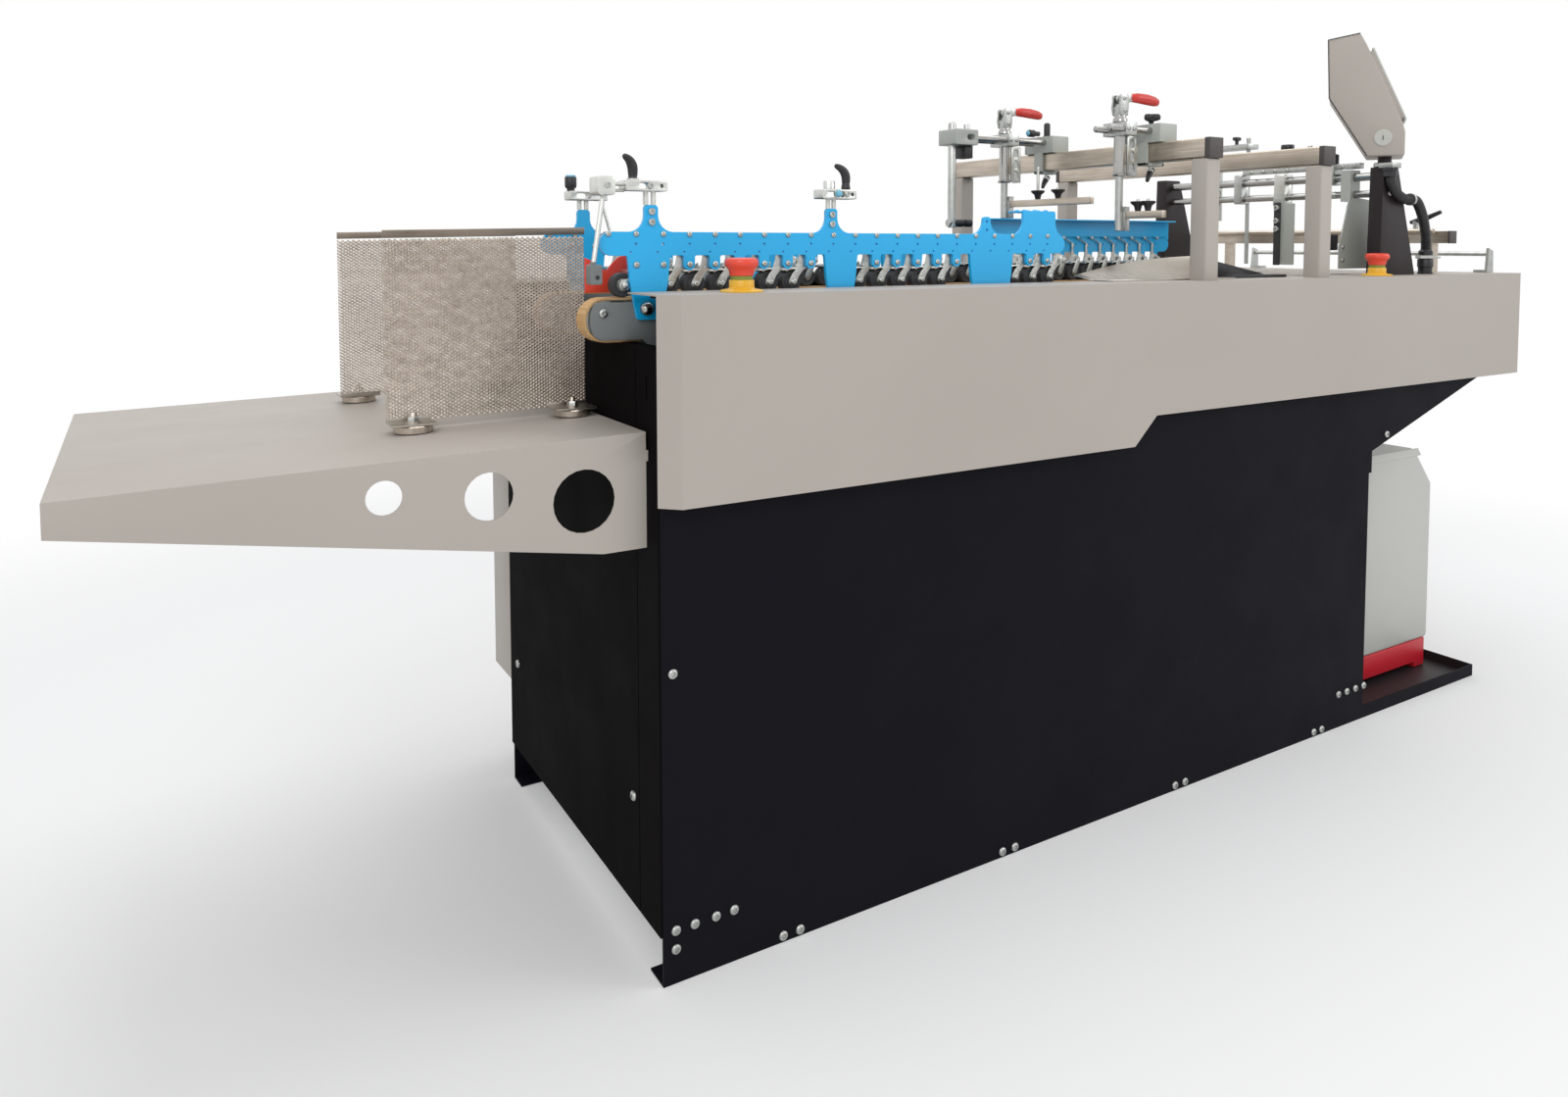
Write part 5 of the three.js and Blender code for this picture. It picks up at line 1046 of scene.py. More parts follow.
with piece("lead_arm", zinc, "lead_wheel_arm", "zinc_steel", ["lead_wheel_arm"]) as bm:
    slab(bm, arm, 106.6, 111.0, edge=0.8)
    turned(bm, [(4, 0), (4, 22), (3.2, 23)], (LEAD_X, 109, WHEEL_Z), REAR, 16)
    turned(bm, [(5.4, 0), (5.2, 2), (4, 3.8), (1.8, 4.8), (0, 5)], (LEAD_X, 106.8, WHEEL_Z), FRONT, 16)

# %% Finger guard
guard = [(-33, 897), (-33, 945), (-24, 941.5), (-10, 930), (-2, 927), (5, 936), (15, 945.5), (27, 949.5)]
guard += [(31.5, 949), (31, 938), (27, 926), (22, 916), (21, 897)]
with piece("finger_guard", red_abs, "front_carrier", "blue_plate") as bm:
    slab(bm, guard, 162, 166, edge=0.8)
with piece("guard_spacer", zinc, "front_carrier", "zinc_steel") as bm:
    turned(bm, [(4, 0), (4, 57)], (20, 105.5, 925), REAR, 12)

# %% Lower carriers
NOSE_X, ROLLER_Z = -23.0, 862.2
TENSION_X, TENSION_Z = 300.0, 800.0
nose = [(-39, 886.2), (-45, 873), (-46, 857), (-42, 843), (-33, 836), (27, 835)]
carrier_outline = nose + [(84, 776), (1305, 776), (1305, 886.2)]
for side, face, away in (("front", 106.3, 1), ("rear", 344.7, -1)):
    node = side + "_lower_carrier"
    inner = face + 5 * away
    plate, bed = sorted((face, face + 6 * away)), sorted((inner, face + 38 * away))
    with piece(side + "_carrier_bed", carrier_coat, side + "_carrier", "grey_plate", [node]) as bm:
        slab(bm, carrier_outline, *plate, [(TENSION_X, TENSION_Z, 15.5), (DRIVE_X, ROLLER_Z, 13)], 0.8)
        blocky(bm, (15, bed[0], 876.7), (1249, bed[1], 888.7), 1)
        turned(bm, [(6, 0), (6, 33)], (NOSE_X, inner, ROLLER_Z), (0, away, 0), 18)
        ring = [(15.5, 0), (21, 0), (21, 33), (15.5, 33)]
        turned(bm, ring, (TENSION_X, inner, TENSION_Z), (0, away, 0), 24, closed=True)

with piece("shaft_dome", chrome, "front_carrier", "bare_stainless") as bm:
    dome = [(10, -0.5), (10, 1.5), (9, 5), (6.4, 8), (3, 9.6), (0, 10)]
    turned(bm, dome, (30, FRONT_Y, 877), FRONT, 24)
nose_bolts = [(-29, 106.2, 872), (TENSION_X, 106.2, 842), (DRIVE_X, 106.2, 828)]
screws("nose_bolts", button_bolt(6.4), nose_bolts, FRONT, "front_carrier")

# %% [markdown]
# ## Emergency stops
# A yellow flange and hollow body stand on the cover. The red mushroom head has a broad rounded lip, and its
# olive stem slides 5 mm down into the body when it is struck.

# %% Emergency stops
STOP_Y = 24.0
STOP_BODY = [(29.2, 0.15), (29.2, 1.6), (27, 3.2), (18.6, 4.4), (17, 6), (16.8, 15.4), (16.2, 16.2)]
STOP_BODY += [(15.5, 16.2), (15.5, 3.4), (0, 3.4)]
STOP_HEAD = [(14.6, 0), (16.0, 0.6), (16.6, 4.4), (17.6, 8), (20.0, 11.4), (22.0, 13.2), (22.8, 15.6)]
STOP_HEAD += [(22.6, 19), (21.6, 22), (19, 23.6), (12, 24.2), (0, 24.4)]
for name, x in (("left", 134.0), ("right", 1592.0)):
    head = name + "_estop_head"
    with piece(name + "_estop_body", yellow_abs, "frame", "grey_sheet") as bm:
        turned(bm, STOP_BODY, (x, STOP_Y, WORK_TOP), UP, 36)
    with piece(name + "_estop_stem", green_abs, head, "black_grip", [head]) as bm:
        turned(bm, [(14.4, 0), (15, 0.6), (15, 12.3)], (x, STOP_Y, WORK_TOP + 9), UP, 30)
    with piece(name + "_estop_cap", red_abs, head, "red_grip", [head]) as bm:
        turned(bm, STOP_HEAD, (x, STOP_Y, WORK_TOP + 21.3), UP, 40)

# %% [markdown]
# ## Guide plates
# Expanded metal, flattened: rows of wavy strands 2.35 mm apart, each meeting the next every 7.6 mm, level
# with the tray. A plain band closes the top; its darker colour is a painted reflection. Bent tabs lie on pot
# magnets, held by a stud and nut.

# %% Guide sizes
ROW_STEP = 2.35
WAVE = 7.6
STRAND_HALF = 1.65
SLOPE = 13.0 / 634.0
GUIDE_X = (-280.0, -8.0)
GUIDE_HEIGHT = 252.0
BAND_HEIGHT = 10.0
FIRST_ROW = 2.4
TABS = ((-280.0, -223.0), (-66.0, -8.0))
MAGNET_IN = 29.5


def tray_top(x):
    return 724.0 + (x + 3.0) * SLOPE


def guide_low(x):
    return tray_top(x) + 11.3


row_count = int((GUIDE_HEIGHT - BAND_HEIGHT - FIRST_ROW) / ROW_STEP)
print("a guide plate has", row_count, "strands")

# %% Expanded metal


def strand_template(start):
    """One strand along the plate. It leans, as the knife leaves it, and touches the next at each wave."""
    bm = bmesh.new()
    x = GUIDE_X[0] + start
    rings = []
    while x <= GUIDE_X[1] + 0.01:
        for step, lift in ((0, 0.5), (0.16, 0.5), (0.5, -0.5), (0.66, -0.5)):
            px = x + step * WAVE
            if px > GUIDE_X[1]:
                break
            z = lift * ROW_STEP + px * SLOPE
            lean = [(-0.95, -0.55), (-0.5, -1), (0.95, 0.55), (0.5, 1)]
            rings.append([bm.verts.new(at(px, y, z + up * STRAND_HALF)) for y, up in lean])
        x += WAVE
    skin(bm, rings)
    return template(bm)


tell("a strand", strand_template(0))

# %% Guides


def guide(side, y, dx, near, far, middle):
    """The plate stands at depth y. Its tabs run from near to far, with the magnets under their middle."""
    node = side + "_guide_plate"
    low = guide_low(0) + FIRST_ROW + dx * SLOPE
    rows = [(dx, y + 1, low + i * ROW_STEP) for i in range(row_count)]
    for part, start, some in (("_strands_a", 0, rows[0::2]), ("_strands_b", WAVE / 2, rows[1::2])):
        shape = strand_template(start)
        scatter(side + part, shape, some, UP, expanded_steel, node, [node])
    ends = [(x + dx, guide_low(x + dx) + GUIDE_HEIGHT) for x in GUIDE_X]
    band = [(x, z - BAND_HEIGHT) for x, z in ends] + ends[::-1]
    with piece(side + "_guide_band", band_steel_painted_dark, node, "bare_stainless", [node]) as bm:
        slab(bm, band, y, y + 2)
    with piece(side + "_guide_tabs", stainless_x, node, "bare_stainless", [node]) as bm:
        for tab_from, tab_to in TABS:
            z = guide_low(tab_from + dx + 28)
            blocky(bm, (tab_from + dx, near, z - 0.6), (tab_to + dx, far, z + 1.9), 0.7)
            blocky(bm, (tab_from + dx, y, z), (tab_to + dx, y + 2, z + 6), 0.4)
    feet = [x + MAGNET_IN + dx for x, _ in TABS]
    with piece(side + "_magnets", magnet_steel, node, "bare_stainless", [node]) as bm:
        for x in feet:
            cup = [(23.6, 0), (24.6, 0.8), (24.6, 8.6), (23.2, 9.8)]
            turned(bm, cup, (x, middle, tray_top(x) + 0.8), UP, 40)
            turned(bm, [(9, 0), (9, 1.4)], (x, middle, guide_low(x) + 1.8), UP, 24)
            turned(bm, [(4, 0), (4, 13), (3, 14.2)], (x, middle, guide_low(x) + 1), UP, 16)
    nuts = [(x, middle, guide_low(x) + 3.2) for x in feet]
    screws(side + "_guide_nuts", hex_nut(13, 6.4), nuts, UP, node)


guide("front", 232, 0, 188, 233.9, 210)
guide("rear", 526, -12, 526.1, 572, 550)

# %% [markdown]
# ## Bolts on the frame
# Button-head screws with small washers hold the side plates to the cross channels, the end panel and the
# tray.

# %% Frame bolts
SIDE_Y = (0, 661)
foot_row = [(x, 10) for x in (182, 209, 580, 606, 981, 1007, 1382, 1407)]
low_row = [(x, 72) for x in (21, 48, 79, 106)] + [(21, 47), (19, 413), (1602, 578)]
low_row += [(x, 68) for x in (1460, 1488, 1517, 1545)]
bolt = button_bolt(7.0)
for side, y, facing in (("front", SIDE_Y[0], FRONT), ("rear", SIDE_Y[1], REAR)):
    screws(side + "_frame_bolts", bolt, [(x, y, z) for x, z in foot_row + low_row], facing, "frame")
end_spots = [(0, 615, 226), (0, 86, 220), (0, 86, 640), (0, 615, 640)]
screws("end_frame_bolts", bolt, end_spots, LEFT, "frame")

# %% [markdown]
# ## Clamp carriages
# A painted block sits on a collar round the first beam. Two bars reach from it to a mount for the toggle
# clamp, whose hollow tube has a ring at its foot, a slotted bracket beside it and two rounded cheeks on top
# for the handle.

# %% Carriage sizes
BEAM_X = 1056.0
COLLAR_HALF = 23.8
RAIL_Z = 1171.3
HANDLE_Z = 1227.0
BLOCK_TOP = 1183.6
FRONT_CLAMP = (144.0, 974.0)
REAR_CLAMP = (419.0, 942.0)
TUBE = [(7.7, 0), (12, 0), (13, 0.9), (13, 4.2), (11.6, 5), (10.5, 5.6), (10.5, 97), (13, 98)]
TUBE += [(13, 103), (10.6, 105.5), (10.6, 111), (7.7, 111)]
print("the collars are", 2 * COLLAR_HALF, "mm wide")

# %% Block, bars and screws


def carriage_block(side, y):
    body = side + "_clamp_carriage"
    with piece(side + "_carriage_block", block_enamel, body, "machined_aluminium", [body]) as bm:
        blocky(bm, (1033, y - 41, 1149.7), (1079, y + 41, BLOCK_TOP), 2.5)
        for x in (BEAM_X - COLLAR_HALF, BEAM_X + COLLAR_HALF - 6):
            blocky(bm, (x, y - 11, 1108), (x + 6, y + 11, 1151), 1.0)
        blocky(bm, (BEAM_X - COLLAR_HALF, y - 11, 1108), (BEAM_X + COLLAR_HALF, y + 11, 1114), 1.0)


def carriage_bars(side, y, clamp_x, rail_x):
    body = side + "_clamp_carriage"
    with piece(side + "_carriage_bars", chrome, body, "machined_aluminium", [body], 50) as bm:
        for dy in (-18, 18):
            turned(bm, [(5, 0), (6, 1), (6, 1034 - rail_x)], (rail_x, y + dy, RAIL_Z), RIGHT, 16)
        turned(bm, TUBE, (clamp_x, y, 1087), UP, 24, closed=True)


def carriage_screws(side, y):
    body = side + "_clamp_carriage"
    with piece(side + "_carriage_screw", zinc, body, "machined_aluminium", [body]) as bm:
        turned(bm, [(6.4, 0), (6.4, 6), (4, 7), (4, 12)], (BEAM_X, y, 1096), UP, 12)
    wing = [(1061, y, 1103), (1056, y, 1098), (1047, y - 3, 1088), (1042, y - 5, 1080)]
    with piece(side + "_carriage_wing", black_nylon, body, "black_grip") as bm:
        bent(bm, wing, [5.6, 6.2, 4.8, 3.2], 12)


print("the clamps stand at X", FRONT_CLAMP[1], "and", REAR_CLAMP[1])

# %% Toggle body


def toggle_body(side, y, clamp_x):
    body = side + "_clamp_carriage"
    edge = clamp_x + 35
    plate = [(clamp_x + 9, 1160), (clamp_x + 9, 1092), (clamp_x + 13, 1088), (edge, 1088), (edge, 1160)]
    slots = [rounded(clamp_x + 17, clamp_x + 27, z - 8, z + 8, 4.6) for z in (1102, 1124, 1146)]
    cheek = arc(clamp_x, HANDLE_Z, 11, 200, -20, 10) + [(clamp_x + 11, 1212), (clamp_x + 9, 1196)]
    cheek += [(clamp_x - 9, 1196), (clamp_x - 12.5, 1210)]
    with piece(side + "_toggle_body", zinc, body, "machined_aluminium", [body]) as bm:
        for y0, y1 in ((y - 28, y - 11.6), (y + 11.6, y + 28)):
            blocky(bm, (clamp_x - 14, y0, 1159.3), (clamp_x + 14, y1, 1183.3), 1.4)
        for x in (clamp_x - 14, clamp_x + 11):
            blocky(bm, (x, y - 12, 1159.4), (x + 3, y + 12, 1183.2), 0)
        slab(bm, plate, y - 10, y - 7, edge=0.5, windows=slots)
        blocky(bm, (edge - 3, y - 9.9, 1088), (edge, y + 12, 1160), 0.6)
        blocky(bm, (clamp_x - 9, y - 6.9, 1197), (clamp_x + 9, y + 6.9, 1212), 1.0)
        for dy in (-10.6, 6.8):
            slab(bm, cheek, y + dy, y + dy + 3.8, edge=0.7)
    bolts = [(clamp_x, y - 10.6, HANDLE_Z), (clamp_x + 2, y - 10.6, 1205)]
    bolts += [(clamp_x + dx, y - 28, 1171) for dx in (-7, 7)]
    screws(side + "_toggle_bolts", button_bolt(4.2), bolts, FRONT, body)


print("the handles turn at Z", HANDLE_Z)

# %% Two carriages
for side, (y, clamp_x), rail_x in (("front", FRONT_CLAMP, 930.0), ("rear", REAR_CLAMP, 845.0)):
    carriage_block(side, y)
    carriage_bars(side, y, clamp_x, rail_x)
    toggle_body(side, y, clamp_x)
    carriage_screws(side, y)

# %% Carriage knobs
FRONT_BODY, REAR_BODY = "front_clamp_carriage", "rear_clamp_carriage"
SIDE_KNOB = (1006, REAR_CLAMP[0], 1190)
with piece("front_star_knob", black_nylon, FRONT_BODY, "black_grip", [FRONT_BODY], 60) as bm:
    foot = (BEAM_X, FRONT_CLAMP[0], BLOCK_TOP)
    turned(bm, [(4, 0), (4.4, 6), (9, 8.5), (9, 11)], foot, UP, 18)
    turned(bm, [(12, 8), (16.5, 10), (17, 16), (14.5, 20), (8, 20.6)], foot, UP, 36, lobes=3)
with piece("rear_knobs", black_nylon, REAR_BODY, "black_grip", [REAR_BODY], 50) as bm:
    turned(bm, [(8, 0), (8, 4), (6.6, 5), (6.6, 27), (5, 30), (2, 31)], (1062, 424, BLOCK_TOP), UP, 20)
    turned(bm, [(5, 0), (7.4, 1), (7.4, 14), (5, 16), (5, 28)], SIDE_KNOB, RIGHT, 18)
with piece("rear_knob_tip", blue_cap, REAR_BODY, "black_grip") as bm:
    turned(bm, [(0, -5), (3.4, -4.4), (5, -2.4), (5, 0.6)], SIDE_KNOB, RIGHT, 16)

# %% [markdown]
# ### Upright on the rear carriage
# The rear bars end in a slotted block that grips an upright rod. A black roller is pinned to the rod's
# foot.

# %% Upright rod
ROLLER_HEIGHT = 1005.0
SLOT = rounded(824, 843, 1166, 1177, 5)
with piece("upright_block", block_enamel, REAR_BODY, "machined_aluminium", [REAR_BODY]) as bm:
    slab(bm, rounded(795, 851, 1156.4, 1186.2, 2.5), 392, 446, edge=1.0, windows=[SLOT])
with piece("upright_rod", zinc, REAR_BODY, "machined_aluminium", [REAR_BODY]) as bm:
    rod = [(7, 0), (8, 1), (8, 198), (6.6, 203), (3, 205.4), (0, 206)]
    turned(bm, rod, (807.5, REAR_CLAMP[0], 996), UP, 20)
    turned(bm, [(6, 0), (6, 10), (5, 11.5), (3, 11.5)], (836, 410, 1186), UP, 14)
    turned(bm, [(7.4, 0), (7.4, 5), (6.6, 6)], (797.5, REAR_CLAMP[0], ROLLER_HEIGHT), RIGHT, 18)
with piece("upright_roller", black_nylon, REAR_BODY, "black_grip") as bm:
    roller = [(6, 0), (7.4, 0.8), (7.4, 30), (4, 31), (4, 36), (7.4, 37), (7.4, 52), (6, 53)]
    turned(bm, roller, (803, REAR_CLAMP[0], ROLLER_HEIGHT), RIGHT, 20)
    blocky(bm, (826, 402, 1131), (846, 432, 1156.2), 2)

# %% [markdown]
# ### Handles and plungers
# The grip is dipped vinyl on a steel lever, fuller in the middle and drooping at its tip. The plunger's
# foot has a slot, and cone-headed knobs stand on the hold-down bar.

# %% Handles


def handle(side, y, clamp_x):
    body = side + "_toggle_handle"
    lever = arc(clamp_x, HANDLE_Z, 8.6, 90, 270, 8)
    lever += [(clamp_x + 20, 1221), (clamp_x + 32, 1225), (clamp_x + 32, 1235), (clamp_x + 20, 1236.5)]
    with piece(side + "_handle_lever", zinc, body, "red_grip", [body]) as bm:
        slab(bm, lever, y - 3.6, y + 3.6, edge=0.8)
    route = [(26, 1230), (28, 1230), (44, 1230.8), (68, 1229.8), (88, 1227.6), (97, 1226), (99, 1225.6)]
    points = [(clamp_x + dx, y, z) for dx, z in route]
    with piece(side + "_handle_grip", red_vinyl, body, "red_grip", [body], 60) as bm:
        bent(bm, points, [5, 7.4, 9.2, 10, 9, 6.6, 3.4], 16, 0.84)


handle("front", *FRONT_CLAMP)
handle("rear", *REAR_CLAMP)

# %% Plungers
ROD_TOP = 1166.0
CONE = [(5, 0), (5.6, 3), (7, 9), (13, 14), (13.6, 16.4), (12, 17.6), (4, 17.2)]


def plunger(side, y, clamp_x, bar_length, bar_z, rod_up):
    body = side + "_plunger"
    x0, x1 = clamp_x + 3.5, clamp_x + 15.5
    with piece(side + "_plunger_rod", zinc, body, "zinc_steel", [body]) as bm:
        turned(bm, [(6.2, 0), (7, 0.8), (7, ROD_TOP + 22 - bar_z)], (clamp_x, y, bar_z - 22), UP, 20)
        blocky(bm, (x0, y - 12, bar_z - 22), (x1, y + 12, bar_z + 13), 1.0)
        blocky(bm, (x0, y - 12, bar_z + 19.4), (x1, y + 12, bar_z + 22), 0.6)
        for y0, y1 in ((y - 12, y - 3.4), (y + 3.4, y + 12)):
            blocky(bm, (x0 + 0.2, y0 + 0.2, bar_z + 12), (x1 - 0.2, y1 - 0.2, bar_z + 20), 0)
    with piece(side + "_hold_down_bar", stainless_y, body, "bare_stainless", [body]) as bm:
        blocky(bm, (x0, y - bar_length, bar_z), (x1, y - 12.3, bar_z + 13), 1.2)
    spots = [y - bar_length * (1 - share) for share in (0.38, 0.62)]
    with piece(side + "_cone_knobs", black_nylon, body, "black_grip", [body], 50) as bm:
        for spot in spots:
            turned(bm, CONE, (x0 + 6, spot, bar_z + 13), UP, 20)
    with piece(side + "_threaded_rods", zinc, body, "zinc_steel") as bm:
        for spot, tall in zip(spots, (4, rod_up)):
            turned(bm, [(2.8, 0), (2.8, tall), (2, tall + 1)], (x0 + 6, spot, bar_z + 29.6), UP, 10)


plunger("front", *FRONT_CLAMP, 96.0, 1010.0, 4)
plunger("rear", *REAR_CLAMP, 230.0, 1038.0, 46)

# %% [markdown]
# ## Gantry caps and the feeder's small parts
# Square plastic plugs close the beams. Behind them the two cross shafts carry clamps, a flat bar, two
# upright rods and knobs for setting the feed gate.

# %% Beam caps
with piece("beam_caps", cap_nylon, "frame", "black_grip") as bm:
    for x in (BEAM_X, BEAM_X + 328):
        for y0, y1 in ((-2.4, 9.0), (699.0, 710.4)):
            blocky(bm, (x - 18.3, y0, 1114.1), (x + 18.3, y1, 1150.1), 1.6)
    for y in (17.6, 638.6):
        blocky(bm, (1848.4, y, 965.4), (1875.6, y + 4.8, 992.6), 1.2)

# %% Feeder clamps and rods
SHAFT_X, UPPER_Z, LOWER_Z = 1650.0, 1105.0, 1069.0
RODS = [(1668, 390, 918, 1212, 4.6), (1668, 469, 1020, 1194, 7)]
RODS += [(SHAFT_X, 275, 1130, 1172, 5), (SHAFT_X, 219, 1130, 1180, 5)]


def shaft_clamp(bm, y, thick, low, high):
    holes = [(SHAFT_X, UPPER_Z, 8.7), (SHAFT_X, LOWER_Z, 7.7)]
    slab(bm, rounded(SHAFT_X - 16, SHAFT_X + 16, low, high, 4), y, y + thick, holes, 1.0)


with piece("feeder_clamps", zinc, "frame", "zinc_steel") as bm:
    shaft_clamp(bm, 382, 20, 1057, 1124)
    shaft_clamp(bm, 461, 16, 1090, 1150)
    shaft_clamp(bm, 152, 16, 1090, 1136)
    blocky(bm, (1640, 208, 1123), (1656, 384, 1133), 1.2)
    blocky(bm, (1640, 370, 1184), (1678, 480, 1196), 1.4)
    blocky(bm, (1642, 98, 1123), (1658, 152, 1135), 1.4)
    for x, y, low, high, r in RODS:
        rod = [(r - 0.6, 0), (r, 0.6), (r, high - low - 1), (r - 1, high - low)]
        turned(bm, rod, (x, y, low), UP, 16)

# %% Feeder knobs and bolts
with piece("feeder_knobs", black_nylon, "frame", "black_grip", (), 50) as bm:
    turned(bm, [(13, 0), (14, 1), (14, 12), (12.6, 14)], (SHAFT_X, 275, 1172), UP, 24)
    turned(bm, [(14, 0), (15, 1.5), (15, 22), (13, 24)], (SHAFT_X, 168, 1133), UP, 24)
    turned(bm, [(5, 0), (5, 9), (12, 11), (12, 17), (9, 18)], (SHAFT_X, 409, 1196), UP, 24, lobes=2)
    blocky(bm, (1554, 116, 951), (1601, 128, 984), 1.5)
with piece("feeder_blue_cap", blue_cap, "frame", "black_grip") as bm:
    turned(bm, [(9, 0), (8, 3), (5, 5), (0, 6)], (SHAFT_X, 168, 1157), UP, 20)
bar_bolts = [(1640, y, 1128) for y in (269, 300, 330, 360)] + [(1642, y, 1129) for y in (110, 138)]
screws("feeder_bolts", button_bolt(5), bar_bolts, LEFT, "frame")

# %% [markdown]
# ### Feed gate and stand
# The gate is an enamelled plate with a rubber strip along one edge. Bolts hold the shafts' ends in the
# black stand, whose sleeve carries the console. A lever on a post sets the infeed rail.

# %% Feed gate
with piece("gate_clamp", aluminium, "feed_gate", "machined_aluminium", ["feed_gate"]) as bm:
    shaft_clamp(bm, 270, 26, 1054, 1120)
with piece("gate_plate", block_enamel, "feed_gate", "machined_aluminium", ["feed_gate"]) as bm:
    blocky(bm, (1627.6, 241, 918), (1633.4, 287, 1054), 1.0)
    blocky(bm, (1628.6, 268, 1050), (1633.4, 294, 1066), 0.6)
with piece("gate_strip", wheel_rubber, "feed_gate", "black_rubber", ["feed_gate"]) as bm:
    blocky(bm, (1622.4, 272, 917), (1627.4, 287, 1057), 1.4)
gate_bolts = [(1622.4, 278, z) for z in (1045, 1016, 998)]
screws("gate_bolts", socket_bolt(6, 6), gate_bolts, LEFT, "feed_gate")

# %% Stand
NECK = (1653.0, 51.0)
STAND_FRONT, STAND_TOP = 36.0, 1122.0
stand_bolts = [(SHAFT_X, STAND_FRONT, z) for z in (UPPER_Z, LOWER_Z)]
screws("stand_bolts", button_bolt(6), stand_bolts, FRONT, "frame")
with piece("stand_sheet", stand_coat, "frame", "black_frame", ["console_stand"]) as bm:
    sheet = [(1621, WORK_TOP + 0.4), (1750, WORK_TOP + 0.4), (1679, STAND_TOP), (1627, STAND_TOP)]
    slab(bm, sheet, STAND_FRONT, STAND_FRONT + 30, edge=1.6)
    turned(bm, [(19, 0), (19, 10), (13, 10), (13, 21.8)], (*NECK, STAND_TOP), UP, 30)

# %% Side guide, neck clamp and rail lever
with piece("side_guide_knob", black_nylon, "front_side_guide", "black_grip", (), 50) as bm:
    turned(bm, [(4, 0), (4, 8), (9, 10), (9, 17), (7, 18)], (SHAFT_X, 123, 1054.6), (0, 0, -1), 20, lobes=2)
guide_bolts = [(1612, 112, 958), (1612, 112, 930), (1734, 112, 930)]
screws("side_guide_bolts", button_bolt(5), guide_bolts, FRONT, "front_side_guide")
with piece("neck_clamp", zinc, "frame", "zinc_steel") as bm:
    turned(bm, [(19.2, 0), (20.6, 0.8), (20.6, 7.2), (19.2, 8)], (*NECK, STAND_TOP + 1), UP, 30, closed=True)
with piece("rail_lever_post", zinc, "frame", "zinc_steel") as bm:
    turned(bm, [(5.5, 0), (5.5, 16), (7, 17), (7, 24)], (1862, 100, 991), UP, 14)
with piece("rail_lever", black_nylon, "frame", "black_grip", (), 50) as bm:
    route = [(1862, 112, 1012), (1862, 100, 1014), (1862, 72, 1023), (1862, 46, 1034)]
    bent(bm, route, [4, 6.4, 5.4, 4.2], 12)

# %% [markdown]
# ## Ribbed hose and its gland
# The hose leaves the stand's sleeve, bends over and drops into a gland on the cover. A second tree sweeps
# it: a smooth curve through a few points is cut four times in each 3.4 mm rib, and its radius swings with
# the cuts.

# %% Ribbed sweep
sweep_tree, given = new_tree("ribbed sweep", {"Rib": "Float", "Groove": "Float", "Crest": "Float"})
line = add(sweep_tree, "GeometryNodeMeshToCurve", (), {0: given["Geometry"]})
bow = add(sweep_tree, "GeometryNodeCurveSplineType", {"spline_type": "CATMULL_ROM"}, {0: line.outputs[0]})
fine = add(sweep_tree, "GeometryNodeSetSplineResolution", {"Resolution": 12}, {0: bow.outputs[0]})
length = add(sweep_tree, "GeometryNodeCurveLength", (), {0: fine.outputs[0]})
share = add(sweep_tree, "ShaderNodeMath", {"operation": "DIVIDE"}, {0: length.outputs[0], 1: given["Rib"]})
ribs = add(sweep_tree, "ShaderNodeMath", {"operation": "ROUND"}, {0: share.outputs[0]})
cuts = add(sweep_tree, "ShaderNodeMath", {"operation": "MULTIPLY_ADD", 1: 4.0, 2: 1.0}, {0: ribs.outputs[0]})
even = add(sweep_tree, "GeometryNodeResampleCurve", (), {"Curve": fine.outputs[0], "Count": cuts.outputs[0]})
index = add(sweep_tree, "GeometryNodeInputIndex")
angle = add(sweep_tree, "ShaderNodeMath", {"operation": "MULTIPLY", 1: math.pi / 2}, {0: index.outputs[0]})
swing = add(sweep_tree, "ShaderNodeMath", {"operation": "COSINE"}, {0: angle.outputs[0]})
radius = add(
    sweep_tree,
    "ShaderNodeMapRange",
    {"From Min": 1.0, "From Max": -1.0},
    {"Value": swing.outputs[0], "To Min": given["Groove"], "To Max": given["Crest"]},
)
circle = add(sweep_tree, "GeometryNodeCurvePrimitiveCircle", {"Resolution": 18, "Radius": 1.0})
tube = add(
    sweep_tree,
    "GeometryNodeCurveToMesh",
    {"Fill Caps": True},
    {"Curve": even.outputs[0], "Profile Curve": circle.outputs[0], "Scale": radius.outputs[0]},
)
end_tree(sweep_tree, tube.outputs[0], given["Finish"])

# %% Ribbed hose
HOSE = [(1634, 27, 1116), (1634, 26, 1104), (1639, 26, 1087), (1656, 26, 1069), (1685, 27, 1058)]
HOSE += [(1714, 30, 1057), (1744, 33, 1053), (1770, 36, 1028), (1786, 38, 1000), (1794, 39, 972)]
HOSE += [(1796, 40, 940)]
links = [(i, i + 1) for i in range(len(HOSE) - 1)]
ribbed = {"Rib": 3.4 * MM, "Groove": 8.9 * MM, "Crest": 10.4 * MM, "Finish": hose_nylon}
hose_mesh = grown(sweep_tree, HOSE, ribbed, links)
dress_mesh("ribbed_hose", hose_mesh, hose_nylon, "frame", ["conduit"], 80)

